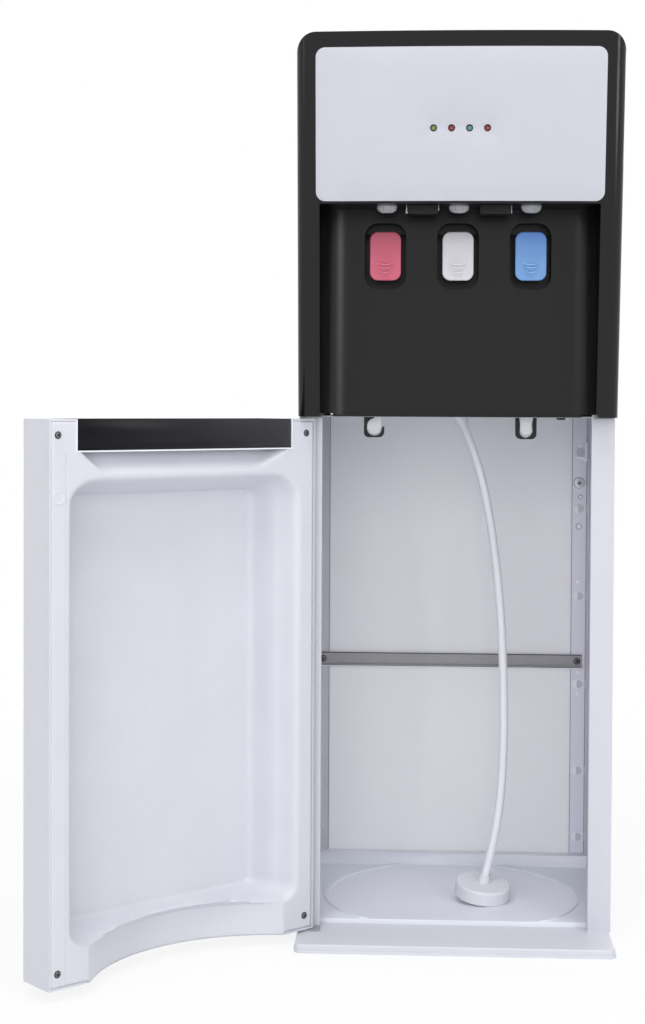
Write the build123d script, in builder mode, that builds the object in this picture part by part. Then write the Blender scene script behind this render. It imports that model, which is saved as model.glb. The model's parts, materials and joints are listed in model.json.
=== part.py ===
from build123d import *
import math
import os

# Bottom load water cooler, in millimetres.
# X runs across the front, Y runs from the front (-) to the back (+), Z is up.
# The origin is on the floor, in the middle of the cabinet's front opening plane.

# ---------------------------------------------------------------- cabinet
WIDTH = 330.0
HALF = WIDTH / 2
HEIGHT = 935.2
INNER_DEPTH = 258.0
SHEET = 1.0
BASE_HEIGHT = 9.0
BASE_FRONT = 65.0
BASE_REAR_MARGIN = 4.0
BASE_CORNER = 9.0
BASE_RIB = 15.0
BASE_HOLLOW = 5.0
BASE_LIP = 3.2
BASE_STEP = 1.2
DECK_HEIGHT = 549.5
DECK_SHEET = 1.2
POST_WIDTH = 24.0
POST_RETURN = 10.0
REAR_FLANGE = 21.0
COVER_SKIRT = 34.0
TOP_RADIUS = 20.0
COVER_WALL = 2.0
REAR_COVER = 2.5
PANEL_FIT = 0.2

# ---------------------------------------------------------------- bottle compartment
BOTTLE_Y = INNER_DEPTH / 2 - 12.0
FLOOR_THICK = 5.0
FLOOR_FRONT = 15.0
FLOOR_CORNER = 12.0
RING_RADIUS = HALF - 26.0
RING_WIDTH = 6.0
RING_RISE = 1.5
LEDGE_DEPTH = 14.0
LEDGE_RISE = 14.0
SEAM_Z = 258.5
BAR_HEIGHT = 14.6
BAR_THICK = 2.5
BAR_HALF = HALF - 8.0
BAR_SCREW_X = HALF - 14.0
BAR_LIP = 3.0
SCREW_RADIUS = 2.0
SCREW_HEAD = 2.0
SCREW_HEAD_RADIUS = 3.6
BOSS_X = HALF - 11.5
BOSS_RADIUS = 4.6
BOSS_DEPTH = 2.4
BOSS_HEIGHTS = (48.0, 127.5, 231.0, 336.0, 440.0, DECK_HEIGHT - 78.5, DECK_HEIGHT - 42.5)

# ---------------------------------------------------------------- door
DOOR_GAP = 2.0
DOOR_EDGE = 47.0
DOOR_BOW = 25.0
DOOR_BOTTOM = BASE_HEIGHT + 2.3
DOOR_TOP = DECK_HEIGHT - 2.0
DOOR_OPEN = 136.1
DOOR_WALL = 2.2
LINER = 1.8
LINER_FIT = 0.3
PIN_INSET = 8.7
PIN_DEPTH = 7.8
PIN_RADIUS = 3.0
PIN_CLEARANCE = 0.06
PIN_LENGTH = 14.0
HINGE_BOSS = 4.9
HINGE_PLATE = 1.5
HINGE_REACH = 18.0
HINGE_HALF = 11.0
HINGE_TAB = 1.5
DOOR_OUTER_RADIUS = 5.0
DOOR_SCREW_X = (16.5 - HALF, HALF - 9.5)
LINER_GROOVE = 18.9
DOOR_SCREW_LOW = DOOR_BOTTOM + 15.4
DOOR_SCREW_HIGH = DOOR_TOP - 15.0
MAGNET_RADIUS = 6.5
MAGNET_INSET = 11.0
MAGNET_HEIGHTS = (DOOR_BOTTOM + 66.7, DOOR_TOP - 73.5)
RECESS_HALF = HALF - 25.0
RECESS_LOW = DOOR_BOTTOM + 32.7
RECESS_DEPTH = 54.0
RECESS_INSET = 22.0
RECESS_CORNER = 22.0
STEP_DEPTH = 24.0
STEP_IN = 9.0
STEP_OUT = 13.0
NOTCH_RADIUS = HALF + 5.0
TRAY_BOTTOM = DOOR_TOP - 29.5
SCOOP_FOOT = TRAY_BOTTOM - 24.0
RECESS_HIGH = SCOOP_FOOT - 4.0
SCOOP_DEPTH = 20.0
SCOOP_FIT = 4.0
SCOOP_RUN = (57.0, 36.0)
SCOOP_BELLY = 0.36
RECESS_SHIFT = 1.6
LOW_SHARE = 0.57
HIGH_SHARE = 0.73
HINGE_CORNER = 6.5
HINGE_RIM = 6.5
HINGE_GROOVE = ((-8.7, -3.0), (-4.0, -8.3), (1.5, -9.1), (2.2, -13.5))
GROOVE_RUN = 13.0

# ---------------------------------------------------------------- drip tray in the door
TRAY_HALF = HALF - 34.0
TRAY_DEPTH = 52.0
TRAY_WALL = 2.0
TRAY_FIT = 0.4
TRAY_SKIN = 1.6
GRILLE_THICK = 2.0
GRILLE_SLOTS = 22
GRILLE_SLOT_WIDTH = 4.5
GRILLE_MARGIN = 7.0
TRAY_SHIFT = 3.2

# ---------------------------------------------------------------- fascia and bay
FASCIA_BOTTOM = DECK_HEIGHT + 0.5
FASCIA_LOW_Y = 32.0
FASCIA_HIGH_Y = 82.0
FASCIA_BOW = 5.0
FASCIA_CORNER = 12.0
FASCIA_SKIN = 2.5
BODY_MARGIN = 30.0
SIDE_MARGIN = 0.05
PANEL_HALF = HALF - 19.5
PANEL_LOW = HEIGHT - 166.9
PANEL_HIGH = HEIGHT - 15.7
PANEL_RADIUS = 9.5
PANEL_PROUD = 1.2
PANEL_SUNK = 1.2
BAY_HALF = HALF - 21.0
BAY_BACK_HALF = HALF - 26.0
BAY_BACK_Y = -2.0
BAY_TOP = PANEL_LOW - 0.3
BAY_WALL = 2.0
BAY_CORNER = 34.0
BAY_SILL = 8.0

# ---------------------------------------------------------------- controls
LED_PITCH = 18.0
LED_Z = HEIGHT - 95.1
LED_RADIUS = 2.75
LED_LENGTH = 18.0
TAP_PITCH = 73.7
PADDLE_PITCH = 75.5
PADDLE_HALF = 16.2
PADDLE_LOW = BAY_TOP - 76.0
PADDLE_HIGH = BAY_TOP - 25.5
PADDLE_THICK = 5.0
PADDLE_FRONT = -11.0
PADDLE_RADIUS = 8.5
POCKET_HALF = 21.5
POCKET_LOW = BAY_TOP - 85.0
POCKET_HIGH = BAY_TOP - 16.0
POCKET_BACK = 18.0
POCKET_RADIUS = 14.0
SHAFT_Y = 2.0
SHAFT_Z = BAY_TOP - 29.0
SHAFT_RADIUS = 1.5
SHAFT_CLEARANCE = 0.06
EAR_RADIUS = 3.6
EAR_WIDTH = 3.0
NOZZLE_Y = -38.0
NOZZLE_TIP = BAY_TOP - 9.0
NOZZLE_STEM = 6.6
NOZZLE_WING = 10.8
NOZZLE_BORE = 4.0
CARRIER_HEIGHT = 14.0
CARRIER_REACH = 22.0
CARRIER_DEPTH = 12.0
GUIDE_HALF = 15.7
GUIDE_DROP = 9.0
SHAFT_HALF = 99.0
EAR_SPREAD = 9.0
SMILE_Z = BAY_TOP - 61.0
SMILE_PITCH = 5.2
BOARD_HALF = 40.0
BOARD_DROP = 15.0
BOARD_THICK = 1.6

# ---------------------------------------------------------------- water works
JACKET_HALF = (HALF - 33.0) / 2
JACKET_X = HALF - 17.0 - JACKET_HALF
JACKET_Y = 100.0
JACKET_TOP = BAY_TOP - 8.0
COLD_RADIUS = JACKET_HALF - 8.0
COLD_LOW = DECK_HEIGHT + 30.5
TANK_WALL = 1.2
TANK_PORT = 5.0
TANK_CORNER = 1.0
SINK_Z = (DECK_HEIGHT + JACKET_TOP) / 2 + 15.25
SINK_HALF = 50.0
SINK_DEPTH = INNER_DEPTH - 216.0
SINK_FINS = 14
SINK_FIN = 1.6
FAN_HALF = 46.0
FAN_DEPTH = 25.0
FAN_HUB = 17.0
FAN_TIP = 41.5
FAN_AXLE = 1.5
FAN_BLADES = 7
HOT_X = 75.0 - HALF
HOT_Y = 95.0
HOT_RADIUS = 46.0
HOT_LOW = DECK_HEIGHT + 30.5
HOT_HEIGHT = BAY_TOP - DECK_HEIGHT - 48.5
MANIFOLD_HALF = HALF - 55.0
MANIFOLD_Y = 95.0
MANIFOLD_HEIGHT = 55.0
PUMP_Y = INNER_DEPTH - 43.0
TUBE_RADIUS = 4.0

# ---------------------------------------------------------------- electrics and back
BOARD_X = 15.0 - HALF
BOARD_Y = (INNER_DEPTH - 98.0, INNER_DEPTH - 18.0)
BOARD_Z = (DECK_HEIGHT + 50.0, DECK_HEIGHT + 170.0)
VENT_PITCH = 8.5
VENT_COUNT = 11
VENT_WIDTH = 4.0
SWITCH_X = (45.0 - HALF, 80.0 - HALF)
SWITCH_Z = DECK_HEIGHT + 90.5
SWITCH_HALF = 10.5
SWITCH_TALL = 14.5
SWITCH_PIVOT_Y = INNER_DEPTH + SHEET + 1.0
ROCKER_HALF = 8.6
ROCKER_TALL = 11.0
ROCKER_TILT = 8.0
INLET_X = 63.0 - HALF
INLET_Z = DECK_HEIGHT + 30.5
DRAIN_X = -40.0
DRAIN_Z = DECK_HEIGHT + 25.5
DRAIN_RADIUS = 8.0
DRAIN_BORE = 5.0

# ---------------------------------------------------------------- clips under the deck
CLIP_X = (-86.8, 73.0)
CLIP_Y = 6.0
CLIP_DEPTH = 12.0
CLIP_HALF = 10.8
CLIP_WALL = 3.4
CLIP_DROP = 21.5
SENSOR_X = (HALF - 59.5, HALF - 51.5)
SENSOR_BACK = 16.0

# ---------------------------------------------------------------- suction hose
HOSE_DIAMETER = 9.5
HOSE_ROUTE = (
    (10.5, 130.0, DECK_HEIGHT - 8.5),
    (24.0, 128.5, DECK_HEIGHT - 39.5),
    (40.5, 125.0, DECK_HEIGHT - 105.5),
    (52.5, 117.0, DECK_HEIGHT - 199.5),
    (57.5, 110.0, 248.0),
    (56.8, 103.5, 160.0),
    (50.0, 98.5, 91.0),
    (37.5, 96.0, 42.4),
)
CAP_RADIUS = 30.5
CAP_THICK = 15.0
CAP_TILT = (0.10, -0.16, 1.0)
CAP_STUB = 8.0
GLAND_X = 4.5
GLAND_Y = 130.3
GLAND_NECK = 6.0
GLAND_LENGTH = 14.0

# ---------------------------------------------------------------- derived places
FLOOR_TOP = BASE_HEIGHT + FLOOR_THICK
DECK_TOP = DECK_HEIGHT + DECK_SHEET
REAR_Y = INNER_DEPTH + SHEET
SIDE_TOP = HEIGHT - COVER_SKIRT
FASCIA_LEAN = (FASCIA_HIGH_Y - FASCIA_LOW_Y) / (HEIGHT - FASCIA_BOTTOM)
PIN_X = -HALF + PIN_INSET
PIN_Y = -DOOR_GAP - PIN_DEPTH
HINGE_AXIS = Axis((PIN_X, PIN_Y, 0), (0, 0, 1))
LED_X = tuple(LED_PITCH * (count - 1.5) for count in range(4))
TAP_X = (-TAP_PITCH, 0.0, TAP_PITCH)
PADDLE_X = (-PADDLE_PITCH, 0.0, PADDLE_PITCH)

os.makedirs("parts", exist_ok=True)


def block(x, y, z, mode=Mode.ADD):
    """A box between the low and high values on each axis."""
    middle = tuple((low + high) / 2 for low, high in (x, y, z))
    size = tuple(high - low for low, high in (x, y, z))
    with Locations(middle):
        Box(*size, mode=mode)


def rod(centre, radius, length, along="z", mode=Mode.ADD):
    """A cylinder that starts at centre and runs along the named axis."""
    turn = {"x": (0, 90, 0), "y": (-90, 0, 0), "z": (0, 0, 0)}[along]
    with Locations(Location(centre, turn)):
        Cylinder(
            radius, length, align=(Align.CENTER, Align.CENTER, Align.MIN), mode=mode
        )


def write(piece, name):
    """Label a finished piece and write its file."""
    piece.part.label = name
    export_step(piece.part, f"parts/{name}.step")


def write_on_door(piece, name):
    """Swing a piece drawn on the closed door to where the door stands open."""
    piece.part = piece.part.rotate(HINGE_AXIS, -DOOR_OPEN)
    write(piece, name)


def mirrored(span):
    """The same span on the other side of the middle."""
    return (-span[1], -span[0])


def upright(half, low, high, radius, x=0.0):
    """A rounded rectangle in the front plane, facing the front."""
    with BuildSketch(Plane.XZ) as shape:
        with Locations((x, (low + high) / 2)):
            RectangleRounded(2 * half, high - low, radius)
    return shape.sketch


def arched(half, top, radius):
    """A tall rectangle in the front plane with its two upper corners rounded."""
    with BuildSketch(Plane.XZ) as shape:
        with Locations((0, top - WIDTH)):
            Rectangle(2 * half, 2 * WIDTH)
        fillet(shape.vertices().group_by(Axis.Y)[-1], radius=radius)
    return shape.sketch


def front_edge(height):
    """How far the fascia's front corner stands before the cabinet at a height."""
    return FASCIA_LOW_Y + FASCIA_LEAN * (height - FASCIA_BOTTOM)


def leaning(grow, mode):
    """A tall body with the fascia's bowed front, a little wider than the fascia."""
    low = FASCIA_BOTTOM - BODY_MARGIN
    front = -front_edge(low) - grow
    half = HALF + grow + SIDE_MARGIN
    rise = HEIGHT + BODY_MARGIN - low
    with BuildSketch(Plane.XY.offset(low)) as outline:
        with BuildLine():
            Line((-half, WIDTH), (-half, front))
            ThreePointArc((-half, front), (0, front - FASCIA_BOW), (half, front))
            Polyline((half, front), (half, WIDTH), (-half, WIDTH))
        make_face()
        fillet(outline.vertices().group_by(Axis.Y)[0], radius=FASCIA_CORNER + grow)
    extrude(outline.sketch, amount=rise * math.hypot(1, FASCIA_LEAN),
            dir=(0, -FASCIA_LEAN, 1), mode=mode)


# ================================================================ base and floor
with BuildPart() as base_plate:
    base_depth = BASE_FRONT + REAR_Y + BASE_REAR_MARGIN
    with BuildSketch():
        with Locations((0, base_depth / 2 - BASE_FRONT)):
            RectangleRounded(WIDTH, base_depth, BASE_CORNER)
    extrude(amount=BASE_LIP)
    with BuildSketch(Plane.XY.offset(BASE_LIP)):
        with Locations((0, base_depth / 2 - BASE_FRONT)):
            RectangleRounded(WIDTH - 2 * BASE_STEP, base_depth - 2 * BASE_STEP,
                             BASE_CORNER - BASE_STEP)
    extrude(amount=BASE_HEIGHT - BASE_LIP)
    fillet(base_plate.edges().group_by(Axis.Z)[-1], radius=BASE_STEP)
    side_hollow = (BASE_RIB, HALF - BASE_RIB)
    front_hollow = (BASE_RIB - BASE_FRONT, -BASE_RIB)
    back_hollow = (BASE_RIB, REAR_Y + BASE_REAR_MARGIN - BASE_RIB)
    for x_span in (side_hollow, mirrored(side_hollow)):
        for y_span in (front_hollow, back_hollow):
            block(x_span, y_span, (0, BASE_HOLLOW), Mode.SUBTRACT)
write(base_plate, "base_plate")

with BuildPart() as floor_pan:
    floor_width = WIDTH - 2 * (SHEET + PANEL_FIT)
    floor_back = INNER_DEPTH - PANEL_FIT
    floor_depth = floor_back - FLOOR_FRONT
    with BuildSketch(Plane.XY.offset(BASE_HEIGHT)):
        with Locations((0, FLOOR_FRONT + floor_depth / 2)):
            RectangleRounded(floor_width, floor_depth, FLOOR_CORNER)
    extrude(amount=FLOOR_THICK)
    with BuildSketch(Plane.XY.offset(FLOOR_TOP)):
        with Locations((0, BOTTLE_Y)):
            Circle(RING_RADIUS + RING_WIDTH / 2)
            Circle(RING_RADIUS - RING_WIDTH / 2, mode=Mode.SUBTRACT)
        with Locations((0, FLOOR_FRONT + floor_depth / 2)):
            Rectangle(floor_width, floor_depth - 2, mode=Mode.INTERSECT)
    extrude(amount=RING_RISE)
    ledge_half = floor_width / 2
    block((-ledge_half, ledge_half), (floor_back - LEDGE_DEPTH, floor_back),
          (FLOOR_TOP, FLOOR_TOP + LEDGE_RISE))
write(floor_pan, "floor_pan")

# ================================================================ cabinet sheets
# each side is one folded sheet: front post with its return, side wall, rear flange
for side, panel_name in ((-1, "left_side_panel"), (1, "right_side_panel")):
    tall = (BASE_HEIGHT, SIDE_TOP)
    spans = [
        (HALF - SHEET, HALF),
        (HALF - POST_WIDTH, HALF),
        (HALF - POST_WIDTH, HALF - POST_WIDTH + SHEET),
        (HALF - REAR_FLANGE, HALF),
    ]
    if side < 0:
        spans = [mirrored(span) for span in spans]
    with BuildPart() as side_panel:
        block(spans[0], (0, REAR_Y), tall)
        block(spans[1], (0, SHEET), tall)
        block(spans[2], (0, POST_RETURN), (FLOOR_TOP, DECK_HEIGHT - PANEL_FIT))
        block(spans[3], (INNER_DEPTH, REAR_Y), tall)
        for height in BOSS_HEIGHTS:
            rod((side * BOSS_X, INNER_DEPTH - BOSS_DEPTH, height), BOSS_RADIUS,
                BOSS_DEPTH, "y")
    write(side_panel, panel_name)

back_half = HALF - SHEET - PANEL_FIT
with BuildPart() as upper_back_panel:
    block((-back_half, back_half), (REAR_Y, REAR_Y + SHEET), (SEAM_Z + 1, DECK_TOP))
write(upper_back_panel, "upper_back_panel")

with BuildPart() as lower_back_panel:
    block((-back_half, back_half), (REAR_Y, REAR_Y + SHEET), (BASE_HEIGHT, SEAM_Z - 1))
write(lower_back_panel, "lower_back_panel")

bar_front = INNER_DEPTH - BAR_THICK
bar_low = SEAM_Z - BAR_HEIGHT / 2
with BuildPart() as rear_crossbar:
    block((-BAR_HALF, BAR_HALF), (bar_front, INNER_DEPTH), (bar_low, bar_low + BAR_HEIGHT))
    block((-BAR_HALF, BAR_HALF), (bar_front - BAR_LIP, bar_front), (bar_low, bar_low + 1.2))
    for x in (-BAR_SCREW_X, BAR_SCREW_X):
        rod((x, bar_front, SEAM_Z), SCREW_RADIUS + 0.1, BAR_THICK, "y", Mode.SUBTRACT)
write(rear_crossbar, "rear_crossbar")

with BuildPart() as crossbar_screws:
    for x in (-BAR_SCREW_X, BAR_SCREW_X):
        rod((x, bar_front - SCREW_HEAD, SEAM_Z), SCREW_HEAD_RADIUS, SCREW_HEAD, "y")
        rod((x, bar_front, SEAM_Z), SCREW_RADIUS, BAR_THICK, "y")
        block((x - 2.6, x + 2.6), (bar_front - SCREW_HEAD, bar_front - SCREW_HEAD / 2),
              (SEAM_Z - 0.5, SEAM_Z + 0.5), Mode.SUBTRACT)
write(crossbar_screws, "crossbar_screws")

with BuildPart() as deck_plate:
    block((-back_half, back_half), (SHEET + PANEL_FIT, INNER_DEPTH - PANEL_FIT),
          (DECK_HEIGHT, DECK_TOP))
    rod((GLAND_X, GLAND_Y, DECK_HEIGHT), GLAND_NECK + PANEL_FIT, DECK_SHEET, "z",
        Mode.SUBTRACT)
write(deck_plate, "deck_plate")

with BuildPart() as top_cover:
    extrude(arched(HALF, HEIGHT, TOP_RADIUS), amount=-(REAR_Y + REAR_COVER))
    extrude(arched(HALF - COVER_WALL, HEIGHT - COVER_WALL, TOP_RADIUS - COVER_WALL),
            amount=-REAR_Y, mode=Mode.SUBTRACT)
    block((-WIDTH, WIDTH), (-1, 2 * REAR_Y), (-HEIGHT, SIDE_TOP), Mode.SUBTRACT)
write(top_cover, "top_cover")

# ================================================================ fascia
with BuildPart() as hollow:
    extrude(arched(HALF - FASCIA_SKIN, HEIGHT - FASCIA_SKIN, TOP_RADIUS - FASCIA_SKIN),
            amount=WIDTH, both=True)
    block((-HALF, HALF), (-WIDTH, WIDTH), (-HEIGHT, FASCIA_BOTTOM + FASCIA_SKIN),
          Mode.SUBTRACT)
    leaning(-FASCIA_SKIN, Mode.INTERSECT)

with BuildPart() as panel_seat:
    extrude(upright(PANEL_HALF + PANEL_FIT, PANEL_LOW - PANEL_FIT, PANEL_HIGH + PANEL_FIT,
                    PANEL_RADIUS + PANEL_FIT), amount=WIDTH)
    leaning(-PANEL_SUNK, Mode.SUBTRACT)

with BuildPart() as front_fascia:
    extrude(arched(HALF, HEIGHT, TOP_RADIUS), amount=WIDTH)
    block((-WIDTH, WIDTH), (-2 * WIDTH, WIDTH), (-HEIGHT, FASCIA_BOTTOM), Mode.SUBTRACT)
    leaning(0.0, Mode.INTERSECT)
    add(hollow.part, mode=Mode.SUBTRACT)
    add(panel_seat.part, mode=Mode.SUBTRACT)
    block((-BAY_HALF, BAY_HALF), (-WIDTH, 1), (FASCIA_BOTTOM - 1, BAY_TOP), Mode.SUBTRACT)
    block((-HALF + FASCIA_SKIN, HALF - FASCIA_SKIN), (-HINGE_TAB - 1, 1),
          (FASCIA_BOTTOM - 1, FASCIA_BOTTOM + FASCIA_SKIN), Mode.SUBTRACT)
    for x in LED_X:
        rod((x, -2 * FASCIA_HIGH_Y, LED_Z), LED_RADIUS + PANEL_FIT, 2 * FASCIA_HIGH_Y, "y",
            Mode.SUBTRACT)
write(front_fascia, "front_fascia")

with BuildPart() as control_panel:
    extrude(upright(PANEL_HALF, PANEL_LOW, PANEL_HIGH, PANEL_RADIUS), amount=WIDTH)
    leaning(PANEL_PROUD, Mode.INTERSECT)
    leaning(-PANEL_SUNK, Mode.SUBTRACT)
    for x in LED_X:
        rod((x, -2 * FASCIA_HIGH_Y, LED_Z), LED_RADIUS + PANEL_FIT / 2,
            2 * FASCIA_HIGH_Y, "y", Mode.SUBTRACT)
write(control_panel, "control_panel")


def bay_plan(inset, height):
    """The bay in plan: wide at the front, drawn in and rounded at the back."""
    half, back_at = BAY_HALF - inset, BAY_BACK_Y - inset
    back_width = BAY_BACK_HALF - inset
    with BuildSketch(Plane.XY.offset(height)) as outline:
        with BuildLine():
            Polyline((-half, -WIDTH), (-half, -FASCIA_LOW_Y), (-back_width, back_at),
                     (back_width, back_at), (half, -FASCIA_LOW_Y), (half, -WIDTH), close=True)
        make_face()
        fillet(outline.vertices().group_by(Axis.Y)[-1], radius=BAY_CORNER - inset)
    return outline.sketch


with BuildPart() as dispensing_bay:
    extrude(bay_plan(0.0, FASCIA_BOTTOM), amount=BAY_TOP - FASCIA_BOTTOM)
    for x in PADDLE_X:
        cup = upright(POCKET_HALF + BAY_WALL, POCKET_LOW - BAY_WALL,
                      POCKET_HIGH + BAY_WALL, POCKET_RADIUS + BAY_WALL, x)
        extrude(cup, amount=-(POCKET_BACK + BAY_WALL))
        extrude(cup, amount=BAY_WALL - BAY_BACK_Y)
    leaning(-PANEL_FIT, Mode.INTERSECT)
    extrude(bay_plan(BAY_WALL, FASCIA_BOTTOM + BAY_WALL),
            amount=BAY_TOP - FASCIA_BOTTOM - 2 * BAY_WALL, mode=Mode.SUBTRACT)
    block((-WIDTH, WIDTH), (-WIDTH, -BAY_SILL), (0, FASCIA_BOTTOM + BAY_WALL + 1),
          Mode.SUBTRACT)
    for x in PADDLE_X:
        pocket = upright(POCKET_HALF, POCKET_LOW, POCKET_HIGH, POCKET_RADIUS, x)
        extrude(pocket, amount=-POCKET_BACK, mode=Mode.SUBTRACT)
        extrude(pocket, amount=BAY_SILL, mode=Mode.SUBTRACT)
    rod((-SHAFT_HALF - 1, SHAFT_Y, SHAFT_Z), SHAFT_RADIUS, 2 * SHAFT_HALF + 2, "x",
        Mode.SUBTRACT)
    for x in TAP_X:
        rod((x, NOZZLE_Y, BAY_TOP - 2 * BAY_WALL), NOZZLE_STEM, 4 * BAY_WALL, "z",
            Mode.SUBTRACT)
    for x in (-TAP_PITCH / 2, TAP_PITCH / 2):
        block((x - 5, x + 5), (NOZZLE_Y - 4, NOZZLE_Y + 4), (BAY_TOP - BAY_WALL, BAY_TOP),
              Mode.SUBTRACT)
write(dispensing_bay, "dispensing_bay")

# ================================================================ indicator lights
light_front = -front_edge(LED_Z) - FASCIA_BOW
board_front = light_front + LED_LENGTH
for x, light_name in zip(LED_X, ("power_light", "hot_light", "cold_light", "empty_light")):
    with BuildPart() as light:
        rod((x, light_front - PANEL_PROUD, LED_Z), LED_RADIUS, LED_LENGTH + PANEL_PROUD, "y")
        fillet(light.edges().group_by(Axis.Y)[0], radius=LED_RADIUS * 0.5)
    write(light, light_name)

with BuildPart() as indicator_board:
    block((-BOARD_HALF, BOARD_HALF), (board_front, board_front + BOARD_THICK),
          (LED_Z - BOARD_DROP, LED_Z + BOARD_DROP))
    block((-8, 8), (board_front + BOARD_THICK, board_front + BOARD_THICK + 6),
          (LED_Z - BOARD_DROP + 2, LED_Z - BOARD_DROP + 10))
    for x in (4 - BOARD_HALF, BOARD_HALF - 4):
        post_front = light_front + FASCIA_SKIN + 1.0
        rod((x, post_front, LED_Z), 2.5, board_front - post_front, "y")
write(indicator_board, "indicator_board")

# ================================================================ nozzles
with BuildPart() as nozzle_carrier:
    block((-TAP_PITCH - CARRIER_REACH, TAP_PITCH + CARRIER_REACH),
          (NOZZLE_Y - CARRIER_DEPTH, NOZZLE_Y + CARRIER_DEPTH),
          (BAY_TOP, BAY_TOP + CARRIER_HEIGHT))
    for x in (-TAP_PITCH / 2, TAP_PITCH / 2):
        block((x - GUIDE_HALF, x + GUIDE_HALF), (NOZZLE_Y - 9, NOZZLE_Y + 9),
              (BAY_TOP - BAY_WALL - GUIDE_DROP, BAY_TOP - BAY_WALL))
        block((x - 5, x + 5), (NOZZLE_Y - 4, NOZZLE_Y + 4), (BAY_TOP - BAY_WALL, BAY_TOP))
    for x in TAP_X:
        rod((x, NOZZLE_Y, BAY_TOP), NOZZLE_STEM, CARRIER_HEIGHT, "z", Mode.SUBTRACT)
write(nozzle_carrier, "nozzle_carrier")

with BuildPart() as nozzles:
    with BuildSketch(Plane.XY.offset(NOZZLE_TIP)):
        with Locations(*((x, NOZZLE_Y) for x in TAP_X)):
            SlotOverall(2 * NOZZLE_WING, 2 * NOZZLE_STEM)
    extrude(amount=BAY_TOP - BAY_WALL - NOZZLE_TIP)
    fillet(nozzles.edges().group_by(Axis.Z)[0], radius=3.5)
    for x in TAP_X:
        rod((x, NOZZLE_Y, BAY_TOP - BAY_WALL), NOZZLE_STEM, BAY_WALL + CARRIER_HEIGHT + 8)
        rod((x, NOZZLE_Y, NOZZLE_TIP - 1), NOZZLE_BORE, HEIGHT, "z", Mode.SUBTRACT)
write(nozzles, "nozzles")

# ================================================================ paddles
with BuildPart() as paddle_shaft:
    rod((-SHAFT_HALF, SHAFT_Y, SHAFT_Z), SHAFT_RADIUS, 2 * SHAFT_HALF, "x")
write(paddle_shaft, "paddle_shaft")

for x, paddle_name in zip(PADDLE_X, ("hot_paddle", "room_paddle", "cold_paddle")):
    with BuildPart() as paddle:
        with BuildSketch(Plane.XZ.offset(-PADDLE_FRONT - PADDLE_THICK)):
            with Locations((x, (PADDLE_LOW + PADDLE_HIGH) / 2)):
                RectangleRounded(2 * PADDLE_HALF, PADDLE_HIGH - PADDLE_LOW, PADDLE_RADIUS)
        extrude(amount=PADDLE_THICK)
        fillet(paddle.edges().group_by(Axis.Y)[0], radius=1.5)
        for ear in (x - EAR_SPREAD, x + EAR_SPREAD):
            block((ear - EAR_WIDTH / 2, ear + EAR_WIDTH / 2),
                  (PADDLE_FRONT + PADDLE_THICK, SHAFT_Y),
                  (SHAFT_Z - EAR_RADIUS, SHAFT_Z + EAR_RADIUS))
            rod((ear - EAR_WIDTH / 2, SHAFT_Y, SHAFT_Z), EAR_RADIUS, EAR_WIDTH, "x")
        rod((x - PADDLE_HALF, SHAFT_Y, SHAFT_Z), SHAFT_RADIUS + SHAFT_CLEARANCE,
            2 * PADDLE_HALF, "x", Mode.SUBTRACT)
        for count in range(3):
            arc_half = 8.5 - 2.2 * count
            arc_z = SMILE_Z - SMILE_PITCH * count
            with BuildSketch(Plane.XZ.offset(-PADDLE_FRONT)):
                with BuildLine():
                    ThreePointArc((x - arc_half, arc_z + 1.6), (x, arc_z),
                                  (x + arc_half, arc_z + 1.6))
                    ThreePointArc((x + arc_half, arc_z + 1.6), (x, arc_z - 1.0),
                                  (x - arc_half, arc_z + 1.6))
                make_face()
            extrude(amount=-0.6, mode=Mode.SUBTRACT)
    write(paddle, paddle_name)

with BuildPart() as paddle_springs:
    for x in PADDLE_X:
        start = (x - EAR_SPREAD + EAR_WIDTH / 2 + 1, SHAFT_Y, SHAFT_Z)
        reach = 2 * EAR_SPREAD - EAR_WIDTH - 2
        rod(start, SHAFT_RADIUS + 1.0, reach, "x")
        rod(start, SHAFT_RADIUS, reach, "x", Mode.SUBTRACT)
write(paddle_springs, "paddle_springs")

with BuildPart() as paddle_switches:
    for x in PADDLE_X:
        block((x - 6, x + 6), (POCKET_BACK - 6, POCKET_BACK), (PADDLE_LOW, PADDLE_LOW + 9))
write(paddle_switches, "paddle_switches")

# ================================================================ suction hose
turns = []
reaches = []
route = [Vector(*point) for point in HOSE_ROUTE]
for before, point, after in zip(route, route[1:], route[2:]):
    turn = math.radians((point - before).get_angle(after - point))
    shorter = min((point - before).length, (after - point).length)
    turns.append(turn)
    reaches.append(0.45 * shorter / math.tan(turn / 2))
print("hose radii", [round(reach) for reach in reaches])

with BuildPart() as suction_hose:
    with BuildLine() as hose_line:
        FilletPolyline(*HOSE_ROUTE, radius=reaches)
    with BuildSketch(Plane(route[0], z_dir=route[1] - route[0])):
        Circle(HOSE_DIAMETER / 2)
    sweep()
hose_length = sum(edge.length for edge in hose_line.edges())
hose_section = math.pi * HOSE_DIAMETER**2 / 4
print("hose length", round(hose_length, 1),
      "volume ratio", round(suction_hose.part.volume / hose_section / hose_length, 4))
write(suction_hose, "suction_hose")

# a boot under the deck that points the hose down and a little to the right
boot_dir = (route[0] - route[1]).normalized()
boot_top = route[0] + boot_dir * GLAND_LENGTH
with BuildPart() as hose_gland:
    with BuildSketch(Plane(route[0], z_dir=boot_dir)):
        Circle(HOSE_DIAMETER / 2 + 2.0)
    with BuildSketch(Plane(boot_top, z_dir=boot_dir)):
        Circle(HOSE_DIAMETER / 2 + 3.5)
    loft()
    block((-WIDTH, WIDTH), (0, WIDTH), (DECK_HEIGHT, HEIGHT), Mode.SUBTRACT)
    rod((GLAND_X, GLAND_Y, DECK_HEIGHT - 2), GLAND_NECK + 4, 2)
    rod((GLAND_X, GLAND_Y, DECK_HEIGHT), GLAND_NECK, DECK_SHEET + 8)
write(hose_gland, "hose_gland")

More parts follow.
